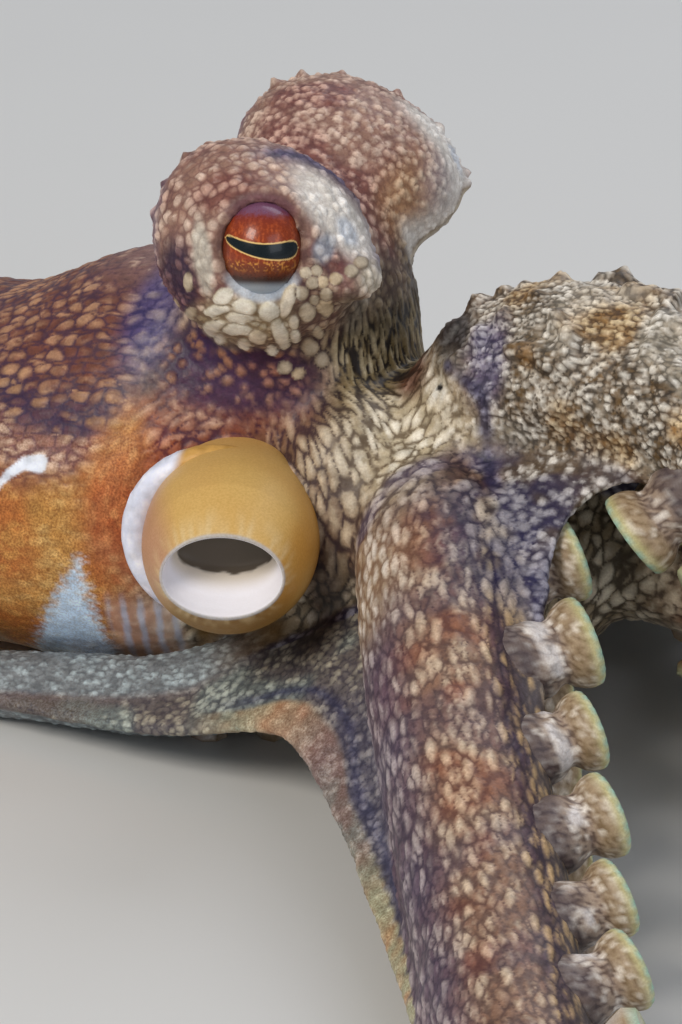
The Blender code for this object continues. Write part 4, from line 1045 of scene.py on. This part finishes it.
edge = add(tree, "Math", {0: waver, 1: 0.16}, operation="MULTIPLY").outputs["Value"]
edge = add(tree, "Math", {0: gap_read, 1: edge}, operation="SUBTRACT").outputs["Value"]
edge = add(tree, "MapRange", {
    "Value": edge, "From Min": -0.04, "From Max": 0.07, "To Min": 0.7, "To Max": 0.0,
}).outputs["Result"]
edge = add(tree, "Math", {0: edge, 1: net_read}, operation="MULTIPLY").outputs["Value"]
mixed = add(tree, "Mix", {
    "Factor": edge, "A": tone_read, "B": line_read}, data_type="RGBA").outputs["Result"]
grit = add(tree, "TexNoise", {"Vector": spots, "Scale": 1000 / SPECK, "Detail": 2.0}).outputs["Fac"]
grit = add(tree, "MapRange", {"Value": grit, "From Min": 0.32, "From Max": 0.68}).outputs["Result"]
dark, light = (
    add(tree, "Mix", {
        "Factor": speckle_read, "A": WHITE, "B": colour}, data_type="RGBA").outputs["Result"]
    for colour in (DARK_GRIT, LIGHT_GRIT))
tint = add(tree, "Mix", {"Factor": grit, "A": dark, "B": light}, data_type="RGBA").outputs["Result"]
dotted = add(tree, "Mix", {
    "Factor": 1.0, "A": mixed, "B": tint}, data_type="RGBA", blend_type="MULTIPLY")
tree.links.new(dotted.outputs["Result"], shader.inputs["Base Color"])
grain = add(tree, "TexNoise", {
    "Vector": spots, "Scale": 1000 / GRAIN, "Detail": 2.0}).outputs["Fac"]
rough = add(tree, "MapRange", {"Value": waver, "To Min": 0.32, "To Max": 0.6}).outputs["Result"]
tree.links.new(rough, shader.inputs["Roughness"])
bump = add(tree, "Bump", {"Height": grain, "Strength": 0.5, "Distance": 0.00006})
tree.links.new(bump.outputs["Normal"], shader.inputs["Normal"])
shader.inputs["IOR"].default_value = WET_IOR

ARM_NODES = {name: [f"arm_{name}_{letter}" for letter in "abcd"] for name in arms}
SHARES = {
    "skin_head": ["head", "turret_right", "turret_left"],
    "skin_mantle": ["mantle"],
    "skin_crown": ["crown", *(f"web_{one}_{two}" for one, two, *_ in WEBS)],
    "skin_arms_r1_r2": ARM_NODES["r1"] + ARM_NODES["r2"],
    "skin_arms_r3_r4": ARM_NODES["r3"] + ARM_NODES["r4"],
    "skin_arms_left": ARM_NODES["l1"] + ARM_NODES["l2"] + ARM_NODES["l3"] + ARM_NODES["l4"],
}


def store(piece, **layers):
    """Keeps one value or one colour for each point of the piece, for its material to read."""
    for label, values in layers.items():
        if values.ndim == 1:
            layer = piece.data.attributes.new(label, "FLOAT", "POINT")
            layer.data.foreach_set("value", values.astype(np.float32))
        else:
            layer = piece.data.attributes.new(label, "FLOAT_COLOR", "POINT")
            rows = np.column_stack([values, np.ones(len(values))])
            layer.data.foreach_set("color", rows.astype(np.float32).ravel())


# Each point's share is its number in SHARES, by its place on the body or by its arm.
point_share = np.where(z > 38, 0, np.where(x < -9, 1, 2))
arm_share = np.array([0, 3, 3, 4, 4, 5, 5, 5, 5])[arm_of]
point_share = np.where((arm_gap < 1.5) & (arm_far > arm_start + 4), arm_share, point_share)
skin_layers = {"tone": tone, "line": line, "gap": gap, "speckle": speckle, "net": net}
for number, (name, nodes) in enumerate(SHARES.items()):
    kinds = [faces[point_share[faces[:, 0]] == number] for faces in (quads, threes)]
    used = np.unique(np.concatenate([faces.ravel() for faces in kinds]))
    place = np.full(len(skin), -1)
    place[used] = np.arange(len(used))
    piece = new_piece(name, skin[used], [place[faces] for faces in kinds], hide)
    store(piece, **{label: values[used] for label, values in skin_layers.items()})
    piece.data.normals_split_custom_set_from_vertices(normals[used])
    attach(piece, "root")
    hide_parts(*nodes)

# The funnel is a soft tube of ochre muscle that the animal breathes out and swims with. Its
# mouth is cut thin, and inside it is white, then greyer and dark with depth: painted shade where
# the tube runs back into the body.
# It gives the eye a smoother, duller gloss than the skin. Its 0.4 mm grain is coarser than real.
# The funnel's rows: how far along, its radius, how tall it is as a share of that, and its rise.
FUNNEL_PROFILE = [
    (-4, 8.0, 1.0, 0), (0, 8.3, 1.0, 0), (5, 8.6, 1.0, 0), (9, 8.5, 0.99, 0), (12.5, 7.9, 0.96, 0),
    (15.2, 7.0, 0.88, 0), (17.2, 6.3, 0.78, 0), (18.1, 5.95, 0.72, 0), (18.3, 5.8, 0.70, 0),
    (18.2, 5.65, 0.69, 0), (17.4, 5.5, 0.65, 0.1), (16.2, 5.3, 0.58, 0.4), (15.0, 5.0, 0.50, 0.9),
    (14.2, 4.7, 0.46, 1.2), (13.7, 4.3, 0.44, 1.3), (13.4, 3.2, 0.44, 1.3), (13.3, 0, 0.44, 1.3)]
FUNNEL_ROWS, FUNNEL_SIDES = 150, 160
FUNNEL_GRAIN, OCHRE_GRIT = 0.4, (0.80, 0.72, 0.55, 1)


def frames(axis, up):
    """Two directions square to the axis and to each other, the second one nearest to up."""
    side = unit(np.cross(up, axis))
    return side, np.cross(axis, side)


def turned(profile, sides):
    """Points of a turned shape on a grid: out along the profile's rows, round in even steps."""
    profile = np.array(profile, float)
    angle = np.linspace(0, 2 * np.pi, sides, endpoint=False)
    far, radius = profile[:, :1] + 0 * angle, profile[:, 1:2] + 0 * angle
    return np.stack([far, radius * np.cos(angle), radius * np.sin(angle)], -1)


def turned_faces(rows, sides):
    """The faces of a turned grid, closed round, the outside on the left of the profile's run."""
    number = np.arange(rows * sides).reshape(rows, sides)
    around = np.roll(number, -1, 1)
    return np.stack([number[:-1], number[1:], around[1:], around[:-1]], -1).reshape(-1, 4)


def resampled(points, rows):
    """A smooth curve through the rows' first two values, read at even distances, and the rows'
    other values read along it."""
    points = np.array(points, float)
    path = smooth_path(np.column_stack([points[:, :2], 0 * points[:, :2]]), 0.1)
    wanted = np.linspace(0, path[-1, 4], rows)
    place = np.column_stack([np.interp(wanted, path[:, 4], path[:, i]) for i in range(2)])
    steps = np.linalg.norm(np.diff(points[:, :2], axis=0), axis=1)
    given = np.concatenate([[0], np.cumsum(steps)]) * path[-1, 4] / steps.sum()
    more = [np.interp(wanted, given, points[:, i]) for i in range(2, points.shape[1])]
    return np.column_stack([place, *more])


def layered(first, *others):
    """A colour at each point: the first one, with each other one mixed in by its weight."""
    tone = np.tile(linear(first), (len(others[0][1]), 1))
    for code, weight in others:
        tone += (linear(code) - tone) * weight[:, None]
    return tone


def skinned(grid):
    """A grid's points in one list."""
    return grid.reshape(-1, grid.shape[-1])


profile = resampled(FUNNEL_PROFILE, FUNNEL_ROWS)
profile[-1, 1] = 0.02
tube = skinned(turned(profile[:, :2], FUNNEL_SIDES))
flat, raised = np.repeat(profile[:, 2], FUNNEL_SIDES), np.repeat(profile[:, 3], FUNNEL_SIDES)
funnel_side, funnel_up = frames(funnel_axis, UP)
funnel_points = (FUNNEL_BASE + tube[:, :1] * funnel_axis + tube[:, 1:2] * funnel_side
                 + (tube[:, 2] * flat + raised)[:, None] * funnel_up)
row = np.repeat(np.arange(FUNNEL_ROWS), FUNNEL_SIDES)
lip = int(np.argmax(profile[:, 0]))
outside = row <= lip
depth = profile[lip, 0] - tube[:, 0]
around = np.arctan2(tube[:, 2], tube[:, 1])
streaks = clouds(np.column_stack([around * 14, depth * 0.3, 0 * depth]), 32)
ragged = 0.35 * (clouds(np.column_stack([around * 5, 0 * depth, 0 * depth]), 33) - 0.5)
# The outside: ochre, painted lighter on top as painted light against the shade there, and darker
# underneath.
ochre = layered(
    "#D09A48",
    ("#DDB468", rise(clouds(funnel_points / 4.5, 31), 0.2, 0.8)),
    ("#8E6A34", 0.85 * rise(-np.sin(around), 0.3, 0.95)),
    ("#E4BC74", 0.7 * rise(np.sin(around), 0.3, 0.9)),
    ("#C49A94", 0.6 * rise(-np.cos(around), 0.6, 1.0)),
    ("#EBD3A4", fall(depth, 0.5, 3.6) * rise(streaks, 0.2, 0.9) * 0.6),
    ("#B9BCC4", 0.8 * fall(depth, 0.05, 0.35)))
# Inside: white, greyed and then darkened with depth as painted shade.
white = layered(
    "#F4F1F6",
    ("#D8CDBE", rise(depth, 2.2, 4.0)),
    ("#5C5246", rise(depth + ragged, 4.1, 4.3)))
funnel_tone = np.where(outside[:, None], ochre, white)
muscle, tree, shader = new_material("smooth_ochre_muscle")
spots = add(tree, "TexCoord").outputs["Object"]
tone_read = add(tree, "Attribute", attribute_name="tone").outputs["Color"]
speckle_read = add(tree, "Attribute", attribute_name="speckle").outputs["Fac"]
grit = add(tree, "TexNoise", {"Vector": spots, "Scale": 1000 / SPECK, "Detail": 2.0}).outputs["Fac"]
grit = add(tree, "MapRange", {"Value": grit, "From Min": 0.32, "From Max": 0.68}).outputs["Result"]
grit = add(tree, "Math", {0: grit, 1: speckle_read}, operation="MULTIPLY").outputs["Value"]
dotted = add(tree, "Mix", {
    "Factor": grit, "A": tone_read, "B": OCHRE_GRIT}, data_type="RGBA", blend_type="MULTIPLY")
tree.links.new(dotted.outputs["Result"], shader.inputs["Base Color"])
grain = add(tree, "TexNoise", {
    "Vector": spots, "Scale": 1000 / FUNNEL_GRAIN, "Detail": 3.0}).outputs["Fac"]
rough = add(tree, "MapRange", {"Value": grain, "To Min": 0.35, "To Max": 0.55}).outputs["Result"]
tree.links.new(rough, shader.inputs["Roughness"])
bump = add(tree, "Bump", {"Height": grain, "Strength": 0.3, "Distance": 0.00005})
tree.links.new(bump.outputs["Normal"], shader.inputs["Normal"])
shader.inputs["IOR"].default_value = WET_IOR
funnel = new_piece("funnel_tube", funnel_points, turned_faces(FUNNEL_ROWS, FUNNEL_SIDES), muscle)
store(funnel, tone=funnel_tone, speckle=np.where(outside, 0.6, 0.05))
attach(funnel, "root")
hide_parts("funnel")

# Each eye is a clear dome over a rust-red iris. Its pupil is a dark bar edged with gold, which
# sags like a smile, and below it the iris darkens and ends in a pale rim. The dome gives the eye
# a few sharp glints over a soft sheen, and the iris's flecks are 0.16 mm, coarser than real.
EYE_ROWS, EYE_SIDES = 150, 200
EYE_OPEN = math.radians(84)
PUPIL_HALF, PUPIL_MID, PUPIL_SAG, PUPIL_TALL = 3.3, -0.22, 0.62, 0.55
GOLD_WIDE, EYE_SWELL = 0.07, 1.03
CORNEA_GRAIN, FLECK = 0.15, 0.16
cornea, tree, shader = new_material("clear_wet_cornea")
tone_read = add(tree, "Attribute", attribute_name="tone").outputs["Color"]
tree.links.new(tone_read, shader.inputs["Base Color"])
spots = add(tree, "TexCoord").outputs["Object"]
grain = add(tree, "TexNoise", {
    "Vector": spots, "Scale": 1000 / CORNEA_GRAIN, "Detail": 2.0}).outputs["Fac"]
rough = add(tree, "MapRange", {"Value": grain, "To Min": 0.2, "To Max": 0.4}).outputs["Result"]
tree.links.new(rough, shader.inputs["Roughness"])
shader.inputs["IOR"].default_value = WET_IOR
shader.inputs["Coat Weight"].default_value = 0.35
shader.inputs["Coat Roughness"].default_value = 0.06
shader.inputs["Coat IOR"].default_value = WET_IOR
for side_name, (centre, look) in EYES.items():
    across, above = frames(look, UP)
    polar = np.linspace(0, 1, EYE_ROWS)[:, None] * EYE_OPEN
    angle = np.linspace(0, 2 * np.pi, EYE_SIDES, endpoint=False)
    u = skinned((EYE_RADIUS * np.sin(polar) * np.cos(angle))[..., None])[:, 0]
    v = skinned((EYE_RADIUS * np.sin(polar) * np.sin(angle))[..., None])[:, 0]
    w = skinned((EYE_RADIUS * np.cos(polar) + 0 * angle)[..., None])[:, 0]
    points = centre + EYE_SWELL * (
        u[:, None] * across + EYE_TALL * v[:, None] * above + w[:, None] * look)
    forward = u if side_name == "right" else -u
    t = forward / PUPIL_HALF
    middle = PUPIL_MID + PUPIL_SAG * (t - 0.3) ** 2
    tall = (PUPIL_TALL + 0.2 * t) * np.sqrt(np.clip(1 - np.abs(t) ** 10, 0, 1))
    over = np.abs(v - middle) - tall + 3 * np.maximum(np.abs(t) - 1, 0)
    fleck = clouds(points / FLECK, 41)
    streak = clouds(np.column_stack([forward * 5, v * 1.2, 0 * v]), 42)
    amber = fall(v, -1.3, -0.7) * rise(v, -2.1, -1.1) * rise(fleck, 0.5, 0.75)
    eye_tone = layered(
        "#8A3412",
        ("#BC5626", rise(0.6 * fleck + 0.4 * streak, 0.4, 0.8) * 0.8),
        ("#7A2A22", rise(v, 1.4, 2.8) * 0.75),
        ("#74506E", rise(v + 0.5 * fleck, 2.6, 3.4) * 0.85),
        ("#6A3216", fall(v, -1.7, -0.7) * 0.85),
        ("#D89440", amber * 0.9),
        ("#2E1E1A", fall(v + 0.3 * fleck, -2.4, -1.6) * 0.9),
        ("#A4B0BC", fall(v, -3.2, -2.5) * 0.95),
        ("#34201C", rise(np.abs(forward) + 0.3 * fleck, 2.8, 3.9) * 0.7),
        ("#F0C980", fall(over - GOLD_WIDE * (0.6 + 0.8 * fleck), 0.0, 0.06) * 0.95),
        ("#06141A", fall(over, -0.05, 0.02)))
    faces = turned_faces(EYE_ROWS, EYE_SIDES)[:, ::-1]
    ball = new_piece(f"eyeball_{side_name}", points, faces, cornea)
    store(ball, tone=eye_tone)
    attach(ball, "root")
    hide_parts(f"eye_{side_name}")

# The suckers stand in two rows along each arm to its tip. Each is a speckled stalk that swells,
# narrows and flares into a pale cup with a grooved rim, and it is part of the arm's own flesh.
# SUCKER_FROM is how far past an arm's start its rows begin, and FIRST_BACK how far the first
# sucker is set back from the lens.
SUCKER_ROW = math.radians(33)
SUCKER_RIM, SUCKER_TALL, SUCKER_SINK = 0.46, 0.86, 0.30
SUCKER_FROM = {"r2": 24.0, "r3": 8.0}
SUCKER_UNTIL = 1.5
FIRST_BACK = {"r3": 2.2}
SUCKER_STEP, SUCKER_STEP_LEAST = 0.62, 0.45
# A profile's rows go up from the root and back down inside the cup: how far out, how wide.
FINE_PROFILE = [
    (-0.95, 0.7), (-0.4, 0.98), (0.0, 1.03), (0.14, 1.0), (0.28, 0.95), (0.40, 0.86), (0.48, 0.78),
    (0.54, 0.80), (0.62, 0.94), (0.72, 1.06), (0.82, 1.12), (0.91, 1.13), (0.98, 1.08), (1.0, 1.0),
    (0.97, 0.84), (0.90, 0.64), (0.75, 0.46), (0.6, 0.36), (0.52, 0.2), (0.5, 0.0)]
FINE_TURN, GROOVES = 0.4, 23
PLAIN_PROFILE = [(-0.3, 0.9), (0.4, 0.72), (0.78, 1.02), (0.97, 0.86), (0.93, 0.45), (0.6, 0.0)]
FINE_ROWS, FINE_SIDES, PLAIN_SIDES = 50, 60, 9


def sucker_stations(arm, skipped, draws):
    """How far along each sucker sits, and its row: steps grow with the arm's radius."""
    far, side, found = arm.start + skipped, 1, []
    while far < arm.length - SUCKER_UNTIL:
        found.append((far, side, draws.uniform(0.93, 1.07)))
        far += SUCKER_STEP * np.interp(far, arm.far, arm.radius) + SUCKER_STEP_LEAST
        side = -side
    return np.array(found)


draws = np.random.default_rng(17)
by_kind = {"fine": [], "plain": []}
for name, arm in arms.items():
    far, side, size = sucker_stations(arm, SUCKER_FROM.get(name, 2.0), draws).T
    place, radius = arm.at(far, arm.place), arm.at(far, arm.radius)
    oral, flank = unit(arm.at(far, arm.oral)), unit(arm.at(far, arm.flank))
    run = unit(arm.at(far, arm.run))
    turn = (SUCKER_ROW * side)[:, None]
    out = oral * np.cos(turn) + flank * np.sin(turn)
    rim = SUCKER_RIM * radius * size[:, None]
    base = place + out * (radius * (1 - SUCKER_SINK * 0.5))
    base[0] -= FIRST_BACK.get(name, 0.0) * LENS_BACK
    tall = SUCKER_TALL * radius * size[:, None]
    close = in_picture(base, 4.0) & np.isin(name, ("r2", "r3")) & (base[:, 0] < 70)
    out = np.where(close[:, None], unit(out - FINE_TURN * LENS_BACK), out)
    run = unit(run - (run * out).sum(1, keepdims=True) * out)
    for kind, chosen in (("fine", close), ("plain", ~close)):
        if chosen.any():
            by_kind[kind].append([part[chosen] for part in (base, out, run, rim, tall)])
for kind, lists in by_kind.items():
    base, out, run, rim, tall = (np.concatenate(parts) for parts in zip(*lists))
    sides = FINE_SIDES if kind == "fine" else PLAIN_SIDES
    profile = np.array(PLAIN_PROFILE)
    if kind == "fine":
        profile = resampled(np.array(FINE_PROFILE), FINE_ROWS)
    profile[-1, 1] = 0.01
    grid = turned(profile, sides)
    far, u, v = skinned(grid).T
    around = np.arctan2(v, u)
    across = np.cross(out, run)
    grooves = 1 + 0.02 * np.cos(around * GROOVES) * rise(far, 0.72, 0.9) * (kind == "fine")
    u, v = u * grooves, v * grooves
    points = (base[:, None] + (far * tall)[..., None] * out[:, None]
              + (u * rim)[..., None] * run[:, None] + (v * rim)[..., None] * across[:, None])
    if kind == "fine":
        wobble = clouds(points.reshape(-1, 3) / 1.1, 51).reshape(points.shape[:2]) - 0.5
        radial = u[None, :, None] * run[:, None] + v[None, :, None] * across[:, None]
        points += radial * (0.5 * wobble * fall(far, 0.5, 0.8))[..., None]
    points[..., 2] = np.maximum(points[..., 2], 0.05)
    count = len(base)
    faces = turned_faces(len(profile), sides)[None] + (np.arange(count) * len(far))[:, None, None]
    points = points.reshape(-1, 3)
    far = np.tile(far, count)
    row = np.tile(np.repeat(np.arange(len(profile)), sides), count)
    inner = row > np.argmax(profile[:, 0])
    between, middle, own = pebbles(points / 0.85, 52)
    blot = clouds(points / 1.6, 53)
    blotch = rise(blot, 0.45, 0.75) * rise(far, 0.15, 0.3) * fall(far, 0.42, 0.52)
    comb = 0.5 + 0.5 * np.cos(np.tile(around, count) * 2 * GROOVES)
    sucker_tone = layered(
        "#6E5A50",
        ("#A89482", rise(between, 0.03, 0.2)),
        ("#F0E8DE", fall(middle, 0.2, 0.6) * rise(own + blot, 0.7, 1.1)),
        ("#E6E2E2", blotch * 0.8),
        ("#B4985C", 0.3 * rise(far, 0.52, 0.66)),
        ("#D4D094", 0.7 * rise(far, 0.78, 0.92)),
        ("#4A4048", 0.75 * fall(far + 0.3 * (blot - 0.5), 0.06, 0.34)),
        ("#9CCFC4", rise(far, 0.90, 0.98) * (0.2 + 0.7 * comb)),
        ("#D6D2C2", inner),
        ("#7E7566", inner * fall(far, 0.55, 0.9)))
    piece = new_piece(f"suckers_{kind}", points, faces.reshape(-1, 4), hide)
    store(piece, tone=sucker_tone, line=sucker_tone * 0.55, gap=np.where(far < 0.6, between, 1.0),
          speckle=np.full(len(points), 0.3), net=np.full(len(points), 0.6))
    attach(piece, "root")
    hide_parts(*(node for nodes in ARM_NODES.values() for node in nodes))
